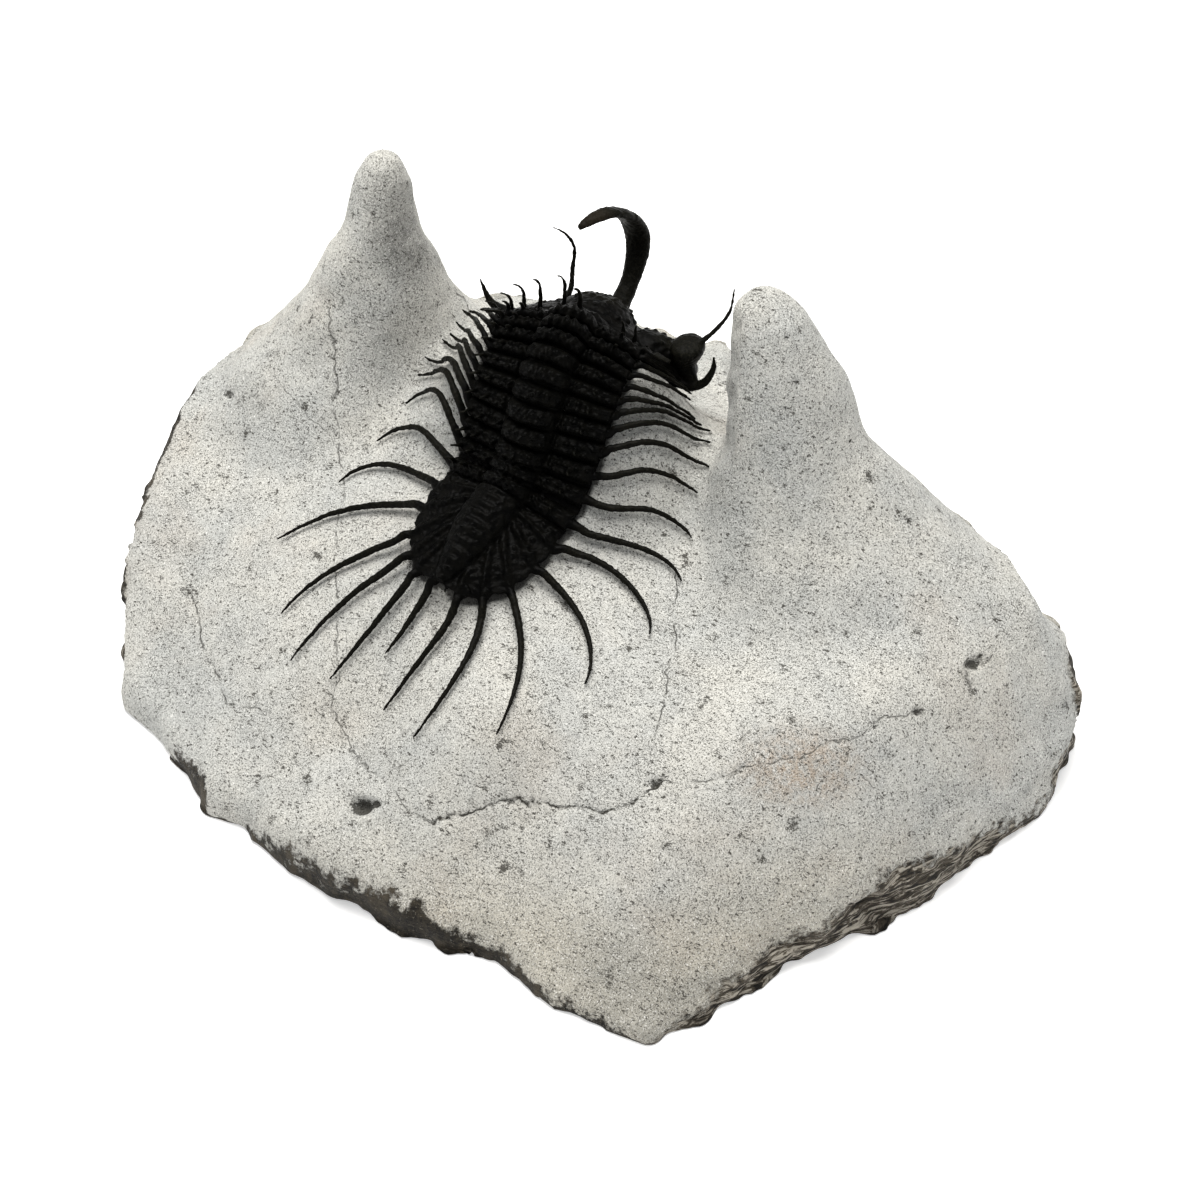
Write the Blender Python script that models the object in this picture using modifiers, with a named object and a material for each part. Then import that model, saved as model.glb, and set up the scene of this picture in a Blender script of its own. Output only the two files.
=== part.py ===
"""A spiny trilobite on the block of limestone it was prepared from.

The animal lies along +Y with its head towards +Y, arched over a mound of the rock, and the block
stands on its flat underside at z = 0. Sizes are in millimetres, which MM turns into metres, and are
laid out from the animal's midline. An empty then moves the middle of the underside to the origin.
"""

import math

import bmesh
import bpy
import numpy as np
from mathutils import Matrix, Vector, noise
from mathutils.bvhtree import BVHTree

MM = 0.001

# The middle of the specimen's box in plan, which becomes the origin.
BOX_CENTRE = (7.05, 45.6)

# The block: its outline in plan, anticlockwise from the front corner.
BLOCK_OUTLINE = (
    (38, 0), (45, 9), (52, 21), (57, 29), (61, 36), (66, 49), (69, 58), (69, 65),
    (65, 71), (55, 76), (44, 81), (30, 86), (13, 89), (-4, 91), (-20, 90), (-35, 88),
    (-46, 82), (-51, 74), (-54, 65), (-55, 56), (-53, 45), (-51, 36), (-48, 28), (-43, 22),
    (-34, 17), (-26, 12), (-18, 10), (-4, 5), (10, 3), (22, 2), (33, 0),
)
# Spot heights of the prepared surface, taken where its slope changes.
EDGE_HEIGHTS = (
    (38, 0, 1.5), (45, 9, 2.2), (52, 21, 4.6), (57, 29, 6), (61, 36, 5), (66, 49, 3.5), (70, 59, 3),
    (66, 68, 14), (55, 76, 11), (40, 83, 14), (28, 86, 20), (13, 89, 26), (-4, 91, 26), (-20, 90, 25),
    (-38, 86, 20), (-50, 76, 17), (-54, 64, 19), (-54, 54, 17), (-53, 45, 13.5), (-50, 34, 9),
    (-43, 22, 3), (-34, 17, 3.5), (-20, 11, 5), (-4, 5, 6), (10, 3, 3), (22, 2, 1.8),
)
BREAK_HEIGHTS = (
    (-11, 20, 11), (5, 12, 11), (14, 17, 15), (24, 18, 17), (29, 22, 18.5), (38, 27, 21),
    (48, 37, 22), (54, 45, 22), (58, 55, 21), (63, 64, 18),
)
TERRACE_HEIGHTS = (
    (-1, 19, 17), (-15, 24, 16), (-31, 40, 20), (-26, 49, 24), (-16, 46, 26.5), (-24, 56, 27),
    (-23, 62, 29.5), (-22, 68, 33), (-19, 76, 33), (10, 20, 21.5), (17, 30, 23), (21, 40, 24.5),
    (21, 49, 26), (20, 55, 28), (20, 60, 31), (17, 66, 34.5), (16, 74, 32), (32, 40, 23.5), (42, 50, 24),
)
MOUND_HEIGHTS = (
    (-4, 41, 26.5), (-2, 48, 28.5), (-1, 53, 33), (-1, 57, 39), (-1, 61, 42.5),
    (0, 66, 42), (0, 71, 39), (0, 76, 35), (0, 82, 30), (0, 86, 28),
)
# Beside the animal the rock is cleaned down to a little under its margins.
MARGIN_REACH = 2.0
MARGIN_DROPS = ((0, 2.8), (34, 2.8), (39, 4.6), (54, 4.6))
BLOCK_FLOOR = -6.0
SURFACE_STEP = 2.0
SURFACE_ROUGHNESS = 0.45
EDGE_ROUGHNESS = 0.9
VOXEL = 1.1
BLOCK_KEEP = 0.034

# The two rock pillars: the tip, then the radius at each drop below it, towards the right, right
# back, back, left back, left, left front, front and right front.
LEFT_PILLAR_TIP = (-30.2, 71, 60)
LEFT_PILLAR = (
    (0.4, (1.3, 1.3, 1.3, 1.3, 1.3, 1.3, 1.3, 1.3)),
    (3, (2.9, 2.9, 2.8, 2.9, 3.0, 2.9, 2.8, 2.9)),
    (8, (3.9, 3.8, 3.8, 3.8, 3.8, 3.8, 3.9, 3.9)),
    (15, (5.2, 5.2, 5.4, 5.4, 5.4, 5.5, 5.8, 5.6)),
    (21, (7.6, 7.6, 7.8, 7.8, 8.2, 8.4, 8.6, 8.2)),
    (27, (10.4, 10.4, 10.4, 10.4, 11.4, 12.0, 12.0, 11.2)),
    (33, (14.0, 14.0, 13.5, 13.5, 15.5, 17.0, 16.5, 15.5)),
    (40, (19.0, 19.0, 17.5, 17.5, 21.0, 24.0, 23.0, 21.0)),
)
RIGHT_PILLAR_TIP = (23.5, 67, 60)
RIGHT_PILLAR = (
    (0.4, (2.0, 1.8, 1.6, 1.6, 1.6, 1.6, 1.6, 1.8)),
    (3, (5.0, 4.0, 3.4, 3.4, 3.4, 3.4, 3.6, 4.4)),
    (8, (7.8, 5.8, 4.4, 4.1, 4.0, 4.0, 5.0, 6.6)),
    (15, (11.0, 8.0, 5.8, 4.6, 4.2, 4.4, 7.0, 9.6)),
    (21, (14.5, 9.8, 7.2, 5.2, 4.4, 5.0, 9.0, 13.0)),
    (27, (20.5, 12.0, 8.6, 6.2, 4.8, 5.8, 12.0, 18.0)),
    (33, (29.0, 15.0, 10.5, 7.6, 5.6, 7.0, 16.0, 24.5)),
    (40, (39.0, 19.5, 13.5, 10.0, 7.5, 10.0, 22.0, 33.0)),
)
PILLAR_SIDES = 32

# The animal's midline, at the level of its side margins: arc length against slope, heading and roll
# in degrees. It lies low at the tail, climbs the mound, and tips down again at the head.
TAIL_END = (-4.9, 35.2, 26.2)
SLOPES = (
    (0, 16), (12, 18), (15.4, 28), (18, 46), (21, 58), (24, 62), (27, 58), (29.5, 48),
    (32, 32), (35, 10), (38, -10), (40.5, -19), (44, -28), (54, -34),
)
HEADINGS = ((0, 11), (14, 11), (38, -2), (44, 4), (54, 8))
ROLLS = ((0, 4), (30, 4), (38, 0), (54, -1))

TAIL_LENGTH = 14.0
# The thoracic segments from the last to the first, closer together where the body arches over.
SEGMENT_PITCHES = (2.9, 2.9, 2.8, 2.7, 2.4, 2.0, 1.8, 1.7, 1.6, 1.6, 1.6)
HEAD_LENGTH = 14.5
PLATE_GAP = 0.34
HEAD_START = TAIL_LENGTH + sum(SEGMENT_PITCHES)
HEAD_END = HEAD_START + HEAD_LENGTH
# Within the joint behind the head, the place where the body takes the head's width and height.
HEAD_EDGE = HEAD_START - 0.05
# Half width of the body along the midline.
HALF_WIDTHS = (
    (0, 2.8), (1, 4.7), (3, 6.5), (6, 7.8), (10, 8.5), (14, 8.8), (25, 9.1), (37.86, 9.2),
    (37.94, 12.9), (41, 13.7), (44.5, 13.2), (47.5, 11.5), (50, 8.6), (51.6, 5.4), (52.5, 2.8),
)
# Share of the width that the raised axis takes up, and how high it stands along the body.
AXIS_SHARE = 0.36
AXIS_HEIGHTS = ((0, 1.0), (7, 2.2), (12, 2.5), (30, 2.4), (38, 1.5), (40.5, 1.1), (43.5, 0))
AXIS_HALF_WIDTH_AT_HEAD = 3.6
SHELL = 1.1
# How far the cheeks hang below the level of the thorax margins, and how high the head domes.
CHEEK_DROP = 5.0
HEAD_RISE = 6.0
# How far the cheek corners are set forwards, for each millimetre beyond the width of the thorax.
CHEEK_SWEEP = 0.7

# Side spines, from the first segment to the last: tip in plan, then the headings in degrees in
# which the spine leaves the body and in which it ends (0 ahead, 90 to the right), and how far the
# tip stands clear of the rock.
RIGHT_SPINES = (
    (12.4, 66.6, 65, 70, 1.5), (14.0, 66.4, 65, 60, 1.0), (14.2, 65.2, 65, 65, 1.5),
    (15.6, 65.4, 65, 60, 0.3), (16.4, 65.6, 65, 60, 0), (17.7, 65.4, 65, 70, 0),
    (18.5, 63.5, 65, 80, 0), (19.7, 60.3, 75, 115, 0), (19.5, 57.5, 95, 115, 0),
    (20.6, 53.4, 110, 130, 0), (21.4, 48.6, 105, 135, 0),
)
LEFT_SPINES = (
    (-13.0, 66.6, -75, -80, 3.0), (-14.8, 66.8, -70, -80, 4.0), (-17.0, 68.2, -60, -65, 4.5),
    (-18.5, 69.1, -60, -65, 4.5), (-19.2, 68.6, -65, -60, 2.5), (-19.8, 68.0, -65, -70, 0.5),
    (-20.5, 67.0, -65, -75, 0), (-21.5, 64.0, -65, -85, 0), (-21.5, 62.0, -65, -90, 0),
    (-21.5, 58.5, -65, -115, 0), (-23.5, 54.0, -65, -135, 0),
)
# Tail spines, round the fan from its left front: place along the tail and across it, tip, headings.
TAIL_SPINES = (
    (11.6, -1, -26.0, 48.0, -60, -155), (8.2, -1, -30.5, 39.5, -75, -125),
    (4.6, -1, -25.0, 30.0, -112, -150), (2.2, -1, -21.0, 25.0, -128, -152),
    (0.6, -1, -15.0, 24.0, -158, -145), (0.3, -0.3, -9.0, 27.5, -150, -140),
    (0.3, 0.8, -6.5, 22.0, 175, 210), (1.6, 1, -0.5, 18.5, 155, 215),
    (4.4, 1, 10.0, 20.0, 135, 190), (8.2, 1, 17.0, 30.0, 92, 180), (11.6, 1, 21.0, 40.0, 60, 168),
)
SPINE_RADII = ((0, 0.56), (0.25, 0.46), (0.6, 0.36), (1, 0.12))
SPINE_STATIONS = (0, 0.08, 0.24, 0.48, 0.74, 1)
SPINE_CLEARANCE = 0.4

# Swollen lobes of the head, the glabella and the cheek at the right eye: centre across, along and up
# from the head's rear border, and radii the same way.
LOBES = {
    "glabella": ((0, 6.6, 0), (4.9, 5.2, 3.1)),
    "right_cheek_swelling": ((8.2, 6.6, -1.6), (3.9, 3.8, 3.4)),
}

# The long horn at the front of the head: points of its middle line, then width and thickness.
HORN = (
    ((-0.5, 75.2, 39.8), 3.1, 1.9), ((-0.3, 80.0, 42.0), 2.9, 1.7), ((0.0, 82.8, 45.5), 2.8, 1.5),
    ((-0.2, 83.0, 48.8), 2.8, 1.3), ((-0.9, 81.3, 52.0), 2.8, 1.2), ((-2.2, 78.6, 54.2), 2.6, 1.1),
    ((-3.4, 76.2, 54.6), 2.0, 1.0), ((-4.3, 74.7, 54.2), 1.2, 0.7),
)
# The eyes: foot on the cheek, top and size, then radii from foot to top for an eye of size 1. The left
# eye is low and small.
EYES = (
    ((11.3, 71.0, 39.0), (12.4, 70.3, 44.8), 1.0),
    ((-7.8, 74.6, 38.7), (-7.5, 75.1, 40.1), 0.6),
)
EYE_RADII = ((0, 1.6), (0.35, 1.5), (0.6, 1.9), (0.85, 2.1), (0.97, 1.5), (1, 0.6))
# Single spines of the head, as points with their radius: from the right eye, from the left eye, and
# from the right and the left corner of the cheeks.
HEAD_SPINES = (
    ((12.9, 70.4, 43.9, 0.42), (14.1, 72.6, 45.9, 0.32), (15.1, 74.8, 47.7, 0.24), (15.7, 76.4, 49.9, 0.1)),
    ((-7.6, 75.0, 39.6, 0.42), (-7.0, 76.9, 41.2, 0.38), (-7.4, 78.4, 43.4, 0.32),
     (-7.6, 79.4, 46.0, 0.26), (-8.6, 79.0, 48.2, 0.2), (-10.0, 78.2, 49.4, 0.1)),
    ((11.2, 68.4, 39.3, 0.7), (14.3, 68.8, 39.6, 0.6), (16.0, 69.4, 42.0, 0.5), (16.0, 69.6, 43.4, 0.3)),
    ((-12.2, 69.6, 41.0, 0.7), (-14.6, 70.4, 41.0, 0.6), (-15.6, 70.6, 41.8, 0.4), (-16.8, 71.0, 44.0, 0.12)),
)
# The upright hooks along the back border of each cheek: place across the head, height and lean.
BORDER_HOOKS = (
    (-0.86, 2.2, -1.6), (-0.68, 3.0, -1.3), (-0.56, 4.0, -0.9), (-0.4, 4.4, -0.4), (-0.16, 4.2, -0.3),
    (0.46, 2.6, -0.3), (0.58, 3.2, 0.2), (0.7, 1.8, 0.4),
)


def table(rows, x):
    """Reads a table of (place, value) rows at x, with straight lines between the rows."""
    places, values = zip(*rows)
    return float(np.interp(x, places, values))


def new_object(name, bm, collection):
    """Makes an object from a bmesh whose coordinates are in millimetres."""
    bmesh.ops.recalc_face_normals(bm, faces=bm.faces)
    mesh = bpy.data.meshes.new(name)
    bm.to_mesh(mesh)
    bm.free()
    mesh.transform(Matrix.Scale(MM, 4))
    thing = bpy.data.objects.new(name, mesh)
    collection.objects.link(thing)
    return thing


def as_cutter(thing):
    thing.hide_render = True
    thing.display_type = "WIRE"
    return thing


def loft(bm, rings):
    """Skins a row of closed rings with equal point counts, and closes both ends."""
    rows = [[bm.verts.new(p) for p in ring] for ring in rings]
    count = len(rows[0])
    for lower, upper in zip(rows, rows[1:]):
        for i in range(count):
            j = (i + 1) % count
            bm.faces.new((lower[i], lower[j], upper[j], upper[i]))
    bm.faces.new(rows[0])
    bm.faces.new(rows[-1])


def boolean(thing, cutter, operation):
    cut = thing.modifiers.new(f"{operation.lower()}_{cutter.name}", "BOOLEAN")
    cut.operation = operation
    cut.object = cutter


def material(name, colour, roughness):
    finish = bpy.data.materials.new(name)
    finish.use_nodes = True
    shader = finish.node_tree.nodes["Principled BSDF"]
    shader.inputs["Base Color"].default_value = (*colour, 1)
    shader.inputs["Roughness"].default_value = roughness
    shader.inputs["Metallic"].default_value = 0
    return finish


# The block of limestone


def thin_plate(spots):
    """The smoothest surface through spot heights: a thin-plate spline, as z = f(x, y)."""
    spots = np.array(spots, float)
    places, heights = spots[:, :2], spots[:, 2]

    def bend(a, b):
        squared = ((a[:, None, :] - b[None, :, :]) ** 2).sum(-1)
        return squared * np.log(squared + 1e-9)

    count = len(spots)
    plane = np.column_stack([np.ones(count), places])
    system = np.zeros((count + 3, count + 3))
    system[:count, :count] = bend(places, places) + np.eye(count) * 2.0
    system[:count, count:] = plane
    system[count:, :count] = plane.T
    weights = np.linalg.solve(system, np.append(heights, np.zeros(3)))

    def height(xy):
        xy = np.atleast_2d(np.array(xy, float))
        return bend(xy, places) @ weights[:count] + np.column_stack([np.ones(len(xy)), xy]) @ weights[count:]

    return height


def prepared_surface(collection):
    """The hand-prepared top of the block, as a solid from the block's floor up to it."""
    xs, ys = zip(*BLOCK_OUTLINE)
    margin = 6
    low = (min(xs) - margin, min(ys) - margin)
    size = (max(xs) + margin - low[0], max(ys) + margin - low[1])
    columns, rows = round(size[0] / SURFACE_STEP), round(size[1] / SURFACE_STEP)
    bm = bmesh.new()
    bmesh.ops.create_grid(bm, x_segments=columns, y_segments=rows, size=0.5)
    for vert in bm.verts:
        vert.co.x = low[0] + (vert.co.x + 0.5) * size[0]
        vert.co.y = low[1] + (vert.co.y + 0.5) * size[1]
    bm.verts.ensure_lookup_table()
    margins = []
    for s in range(0, int(HEAD_END), 3):
        for side in (-1, 1):
            p = body_point(s, side, dome(s, side), MARGIN_REACH)
            margins.append((p.x, p.y, p.z - table(MARGIN_DROPS, s)))
    surface = thin_plate(EDGE_HEIGHTS + BREAK_HEIGHTS + TERRACE_HEIGHTS + MOUND_HEIGHTS + tuple(margins))
    heights = surface([vert.co.xy for vert in bm.verts])
    for vert, height in zip(bm.verts, heights):
        ripple = noise.fractal(Vector((vert.co.x, vert.co.y, 0)) / 14, 0.8, 2.0, 3)
        vert.co.z = max(height + SURFACE_ROUGHNESS * ripple, BLOCK_FLOOR + 2)
    top = list(bm.faces)
    raised = bmesh.ops.extrude_face_region(bm, geom=top)["geom"]
    for item in raised:
        if isinstance(item, bmesh.types.BMVert):
            item.co.z = BLOCK_FLOOR
    return new_object("matrix_rock", bm, collection)


def outline_prism(collection):
    """The broken sides of the block: its outline, roughened, as a tall prism."""
    bm = bmesh.new()
    points = []
    count = len(BLOCK_OUTLINE)
    for i in range(count):
        a, b = Vector(BLOCK_OUTLINE[i]), Vector(BLOCK_OUTLINE[(i + 1) % count])
        parts = max(1, round((b - a).length / 4))
        for k in range(parts):
            p = a.lerp(b, k / parts)
            points.append(tuple(p + EDGE_ROUGHNESS * Vector((
                noise.noise(Vector((p.x, p.y, 20)) / 5), noise.noise(Vector((p.x, p.y, 60)) / 5)))))
    tall = 80
    loft(bm, [[(x, y, z) for x, y in points] for z in (BLOCK_FLOOR + 1, tall)])
    return as_cutter(new_object("cut_block_sides", bm, collection))


def pillar(name, tip, levels, collection):
    """A rock pillar under a rounded tip, as rings whose radius changes with the direction."""
    rings = []
    for drop, radii in levels:
        ring = []
        for k in range(PILLAR_SIDES):
            turn = 8 * k / PILLAR_SIDES
            radius = float(np.interp(turn, range(9), (*radii, radii[0])))
            angle = turn * math.pi / 4
            ring.append((tip[0] + radius * math.cos(angle), tip[1] + radius * math.sin(angle), tip[2] - drop))
        rings.append(ring)
    bm = bmesh.new()
    loft(bm, rings)
    return as_cutter(new_object(name, bm, collection))


# The animal's midline and cross section


def trace_midline():
    """Points of the midline every quarter millimetre of arc length, from the tail end forwards."""
    step = 0.25
    point = Vector(TAIL_END)
    points = []
    for k in range(int((HEAD_END + 2) / step) + 1):
        points.append(point.copy())
        slope = math.radians(table(SLOPES, (k + 0.5) * step))
        heading = math.radians(table(HEADINGS, (k + 0.5) * step))
        flat = math.cos(slope)
        point += step * Vector((flat * math.sin(heading), flat * math.cos(heading), math.sin(slope)))
    return step, points


MIDLINE_STEP, MIDLINE = trace_midline()


def body_frame(s):
    """Origin, right, ahead and up of the animal at arc length s."""
    k = min(max(s / MIDLINE_STEP, 0), len(MIDLINE) - 1.001)
    origin = MIDLINE[int(k)].lerp(MIDLINE[int(k) + 1], k - int(k))
    slope, heading = math.radians(table(SLOPES, s)), math.radians(table(HEADINGS, s))
    ahead = Vector((math.cos(slope) * math.sin(heading), math.cos(slope) * math.cos(heading), math.sin(slope)))
    right = ahead.cross(Vector((0, 0, 1))).normalized()
    right = Matrix.Rotation(math.radians(table(ROLLS, s)), 3, ahead) @ right
    return origin, right, ahead, right.cross(ahead)


def body_point(s, across, height, beyond=0.0):
    """A point of the animal: across as a share of its half width, plus a distance beyond that, and
    height above its margins. Towards their corners the cheeks are set forwards."""
    origin, right, ahead, up = body_frame(s)
    side = across * table(HALF_WIDTHS, s) + math.copysign(beyond, across)
    sweep = 0.0
    if s > HEAD_EDGE:
        sweep = CHEEK_SWEEP * max(0, abs(side) - 9.2) * (HEAD_END - s) / HEAD_LENGTH
    return origin + right * side + ahead * sweep + up * height


def dome(s, across):
    """Height of the shell's top above the margins: a raised axis between sloping sides."""
    side = min(1, abs(across))
    if s > HEAD_EDGE:
        rise = HEAD_RISE * math.sqrt(max(0.02, 1 - (max(0, s - HEAD_START) / HEAD_LENGTH) ** 3))
        off_axis = side * table(HALF_WIDTHS, s) / AXIS_HALF_WIDTH_AT_HEAD
        axis = table(AXIS_HEIGHTS, s) * math.sqrt(max(0, 1 - off_axis**2))
        return rise * (1 - side**2.5) - CHEEK_DROP + 0.5 + axis
    tail_end = min(1, (s + 1.5) / 9)
    axis_share = AXIS_SHARE * (0.55 + 0.45 * tail_end)
    axis = table(AXIS_HEIGHTS, s) * math.sqrt(max(0, 1 - (side / axis_share) ** 2))
    return 0.5 + 2.0 * (1 - side**2.6) * (0.45 + 0.55 * tail_end) + axis


def underside(s, across):
    return dome(s, across) - SHELL - 0.7 * (1 - min(1, abs(across)))


HEAD_SHARES = (0, 0.1, 0.2, 0.32, 0.45, 0.58, 0.7, 0.8, 0.88, 0.95, 1)
HEAD_SECTIONS = [
    HEAD_START + PLATE_GAP / 2 + (HEAD_LENGTH - PLATE_GAP / 2) * share for share in HEAD_SHARES]
SEAT_STEP = 1.25
# Shares of the half width at which a section has its points, above and below.
TOP_SHARES = (-1, -0.82, -0.6, -0.42, -0.34, -0.2, 0, 0.2, 0.34, 0.42, 0.6, 0.82, 1)
UNDER_SHARES = (-1, -0.42, 0, 0.42, 1)


def plate_ring(s, lift=0.0):
    """A closed section through a plate: over the top from left to right, and back underneath."""
    top = [body_point(s, a, dome(s, a) + lift * (1 - 0.5 * abs(a))) for a in TOP_SHARES]
    under = [body_point(s, a, underside(s, a)) for a in reversed(UNDER_SHARES)]
    return top + under


def seat(name, start, end, clearance, overhang, top, collection):
    """A solid along the body with one face following the shell's underside: with no top height it
    reaches up over the body and cuts its seat, otherwise it stands under the body on that level."""
    rings = []
    behind = np.linspace(start, HEAD_EDGE - 0.3, round((HEAD_EDGE - start) / SEAT_STEP))
    under_head = [s for s in HEAD_SECTIONS if s < end]
    for s in (*behind, HEAD_EDGE + 0.01, *under_head, end):
        outer = overhang
        if top is None and s > HEAD_EDGE:
            outer = max(overhang, 7.5 - table(HALF_WIDTHS, s))
        places = [(share, min(0, outer) if abs(share) == 1 else 0) for share in UNDER_SHARES]
        if outer > 0:
            places = [(-1, outer), *places, (1, outer)]
        face = [body_point(s, share, underside(s, share) - clearance, beyond) for share, beyond in places]
        far = [Vector((p.x, p.y, p.z + 16 if top is None else top)) for p in reversed(face)]
        rings.append(face + far)
    bm = bmesh.new()
    loft(bm, rings)
    return as_cutter(new_object(name, bm, collection))


def make_block(collection, cutters):
    """The block: the prepared surface within its broken outline, with the two pillars and the
    mound that the animal lies on, melted together and cut flat underneath."""
    block = prepared_surface(collection)
    boolean(block, outline_prism(cutters), "INTERSECT")
    boolean(block, pillar("left_pillar", LEFT_PILLAR_TIP, LEFT_PILLAR, cutters), "UNION")
    boolean(block, pillar("right_pillar", RIGHT_PILLAR_TIP, RIGHT_PILLAR, cutters), "UNION")
    boolean(block, seat("mound_core", 0.4, HEAD_END - 1.5, -0.4, -0.3, 8, cutters), "UNION")
    melt = block.modifiers.new("melt", "REMESH")
    melt.mode = "VOXEL"
    melt.voxel_size = VOXEL * MM
    ease = block.modifiers.new("ease", "SMOOTH")
    ease.factor = 0.5
    ease.iterations = 10
    thin = block.modifiers.new("thin", "DECIMATE")
    thin.ratio = BLOCK_KEEP
    bm = bmesh.new()
    bmesh.ops.create_cube(bm, size=1, matrix=Matrix.Diagonal((300, 300, 40, 1)))
    bmesh.ops.translate(bm, verts=bm.verts, vec=(0, 0, -20))
    boolean(block, as_cutter(new_object("cut_ground", bm, cutters)), "DIFFERENCE")
    boolean(block, seat("cut_seat", -0.6, HEAD_END + 1.4, PLATE_GAP, 1.2, None, cutters), "DIFFERENCE")
    block.data.materials.append(material("pale_limestone", (0.62, 0.61, 0.56), 0.92))
    return block


# The spines


def hermite(start, end, leave, arrive, t):
    """A plan curve between two places with the headings, in degrees, at which it leaves and ends."""
    pull = (end - start).length
    out = pull * Vector((math.sin(math.radians(leave)), math.cos(math.radians(leave))))
    into = pull * Vector((math.sin(math.radians(arrive)), math.cos(math.radians(arrive))))
    a, b, c = t * t * (3 - 2 * t), t * (1 - t) ** 2, t * t * (t - 1)
    return start * (1 - a) + end * a + out * b + into * c


def rest_height(rock, place, radius):
    """Height of a ball's centre when it is let down on the rock at a place in plan."""
    heights = []
    for reach in (0, 0.5, 0.9):
        for k in range(8 if reach else 1):
            turn = math.tau * k / 8
            spot = place + reach * radius * Vector((math.cos(turn), math.sin(turn)))
            heights.append(rock(spot) + radius * math.sqrt(1 - reach * reach))
    return max(heights)


def draped_spine(rock, s, side, tip, leave, arrive, lift=0.0, inset=0.0):
    """A side spine: from inside the plate's margin, out over the rock and down close above it."""
    inner = 0.85 * side
    root = body_point(s + inset, inner, 0.5 * (dome(s + inset, inner) + underside(s + inset, inner)))
    edge = body_point(s, side, 0.5 * (dome(s, side) + underside(s, side)))
    tip = Vector(tip)
    path = [(root, SPINE_RADII[0][1]), (edge, SPINE_RADII[0][1])]
    spare = 0
    for t in SPINE_STATIONS[1:]:
        radius = table(SPINE_RADII, t)
        place = hermite(edge.xy, tip, leave, arrive, t)
        lowest = rest_height(rock, place, radius + SPINE_CLEARANCE)
        if not spare:
            spare = max(0.01, edge.z - lowest)
        path.append((Vector((*place, lowest + spare * (1 - t) ** 2.5 + lift * t)), radius))
    return path


def upright_hook(s, across, length, lean, radius):
    """A short hooked spine standing on the shell."""
    _, right, ahead, up = body_frame(s)
    foot = body_point(s, across, dome(s, across) - 0.45)
    return [
        (foot, radius),
        (foot + up * (0.45 + 0.55 * length) + right * 0.3 * lean, 0.7 * radius),
        (foot + up * (0.45 + length) + right * lean - ahead * 0.25 * length, 0.25 * radius),
    ]


def tubes(name, paths, sides, collection):
    """Round tapering spines as one cutter: paths of (point, radius), swept and closed."""
    curve = bpy.data.curves.new(name, "CURVE")
    curve.dimensions = "3D"
    curve.bevel_depth = MM
    curve.bevel_resolution = {4: 0, 6: 1, 8: 2}[sides]
    curve.use_fill_caps = True
    for path in paths:
        spline = curve.splines.new("POLY")
        spline.points.add(len(path) - 1)
        for point, (place, radius) in zip(spline.points, path):
            point.co = (*(place * MM), 1)
            point.radius = radius
    swept = bpy.data.objects.new(name, curve)
    collection.objects.link(swept)
    bpy.context.view_layer.update()
    mesh = bpy.data.meshes.new_from_object(swept.evaluated_get(bpy.context.evaluated_depsgraph_get()))
    bpy.data.objects.remove(swept, do_unlink=True)
    bm = bmesh.new()
    bm.from_mesh(mesh)
    bpy.data.meshes.remove(mesh)
    bmesh.ops.remove_doubles(bm, verts=bm.verts, dist=0.00001)
    bmesh.ops.scale(bm, verts=bm.verts, vec=(1 / MM, 1 / MM, 1 / MM))
    return as_cutter(new_object(name, bm, collection))


# The plates of the animal


def joint_gap(s):
    """The gap left at a joint: wider at the margins where the body bends upwards above it."""
    bend = math.radians(table(SLOPES, s + 1) - table(SLOPES, s - 1)) / 2
    return PLATE_GAP / min(1, 1 - 4.8 * bend)


def make_tail(rock, collection, cutters):
    """The tail fan with its eleven spines."""
    bm = bmesh.new()
    end = TAIL_LENGTH - joint_gap(TAIL_LENGTH) / 2
    rings = []
    for k, share in enumerate((0, 0.03, 0.09, 0.18, 0.28, 0.38, 0.48, 0.58, 0.68, 0.78, 0.88, 1)):
        rings.append(plate_ring(share * end, 0.25 if k % 2 else -0.1))
    loft(bm, rings)
    tail = new_object("tail_shield", bm, collection)
    paths = []
    for s, across, x, y, leave, arrive in TAIL_SPINES:
        paths.append(draped_spine(rock, s, across, (x, y), leave, arrive, inset=1.2))
    boolean(tail, tubes("tail_spines_odd", paths[::2], 6, cutters), "UNION")
    boolean(tail, tubes("tail_spines_even", paths[1::2], 6, cutters), "UNION")
    return tail


# A thoracic band's sections: share of its length, and lift above the shell's mean height.
BAND_SECTIONS = ((0, -0.35), (0.3, 0.25), (0.7, 0.25), (1, -0.35))


def make_segment(number, front, rear, rock, collection, cutters):
    """A thoracic segment: a band over the back with a long spine and a short hook at each side."""
    start, end = rear + joint_gap(rear) / 2, front - joint_gap(front) / 2
    bm = bmesh.new()
    loft(bm, [plate_ring(start + (end - start) * share, lift) for share, lift in BAND_SECTIONS])
    segment = new_object(f"thorax_segment_{number:02d}", bm, collection)
    middle = (start + end) / 2
    paths, hooks = [], []
    for side, rows in ((-1, LEFT_SPINES), (1, RIGHT_SPINES)):
        x, y, leave, arrive, lift = rows[number - 1]
        paths.append(draped_spine(rock, middle, side, (x, y), leave, arrive, lift))
        hooks.append(upright_hook(middle, 0.72 * side, 1.7, 0.5 * side, 0.38))
    boolean(segment, tubes(f"spines_{number:02d}", paths, 6, cutters), "UNION")
    boolean(segment, tubes(f"hooks_{number:02d}", hooks, 4, cutters), "UNION")
    return segment


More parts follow.
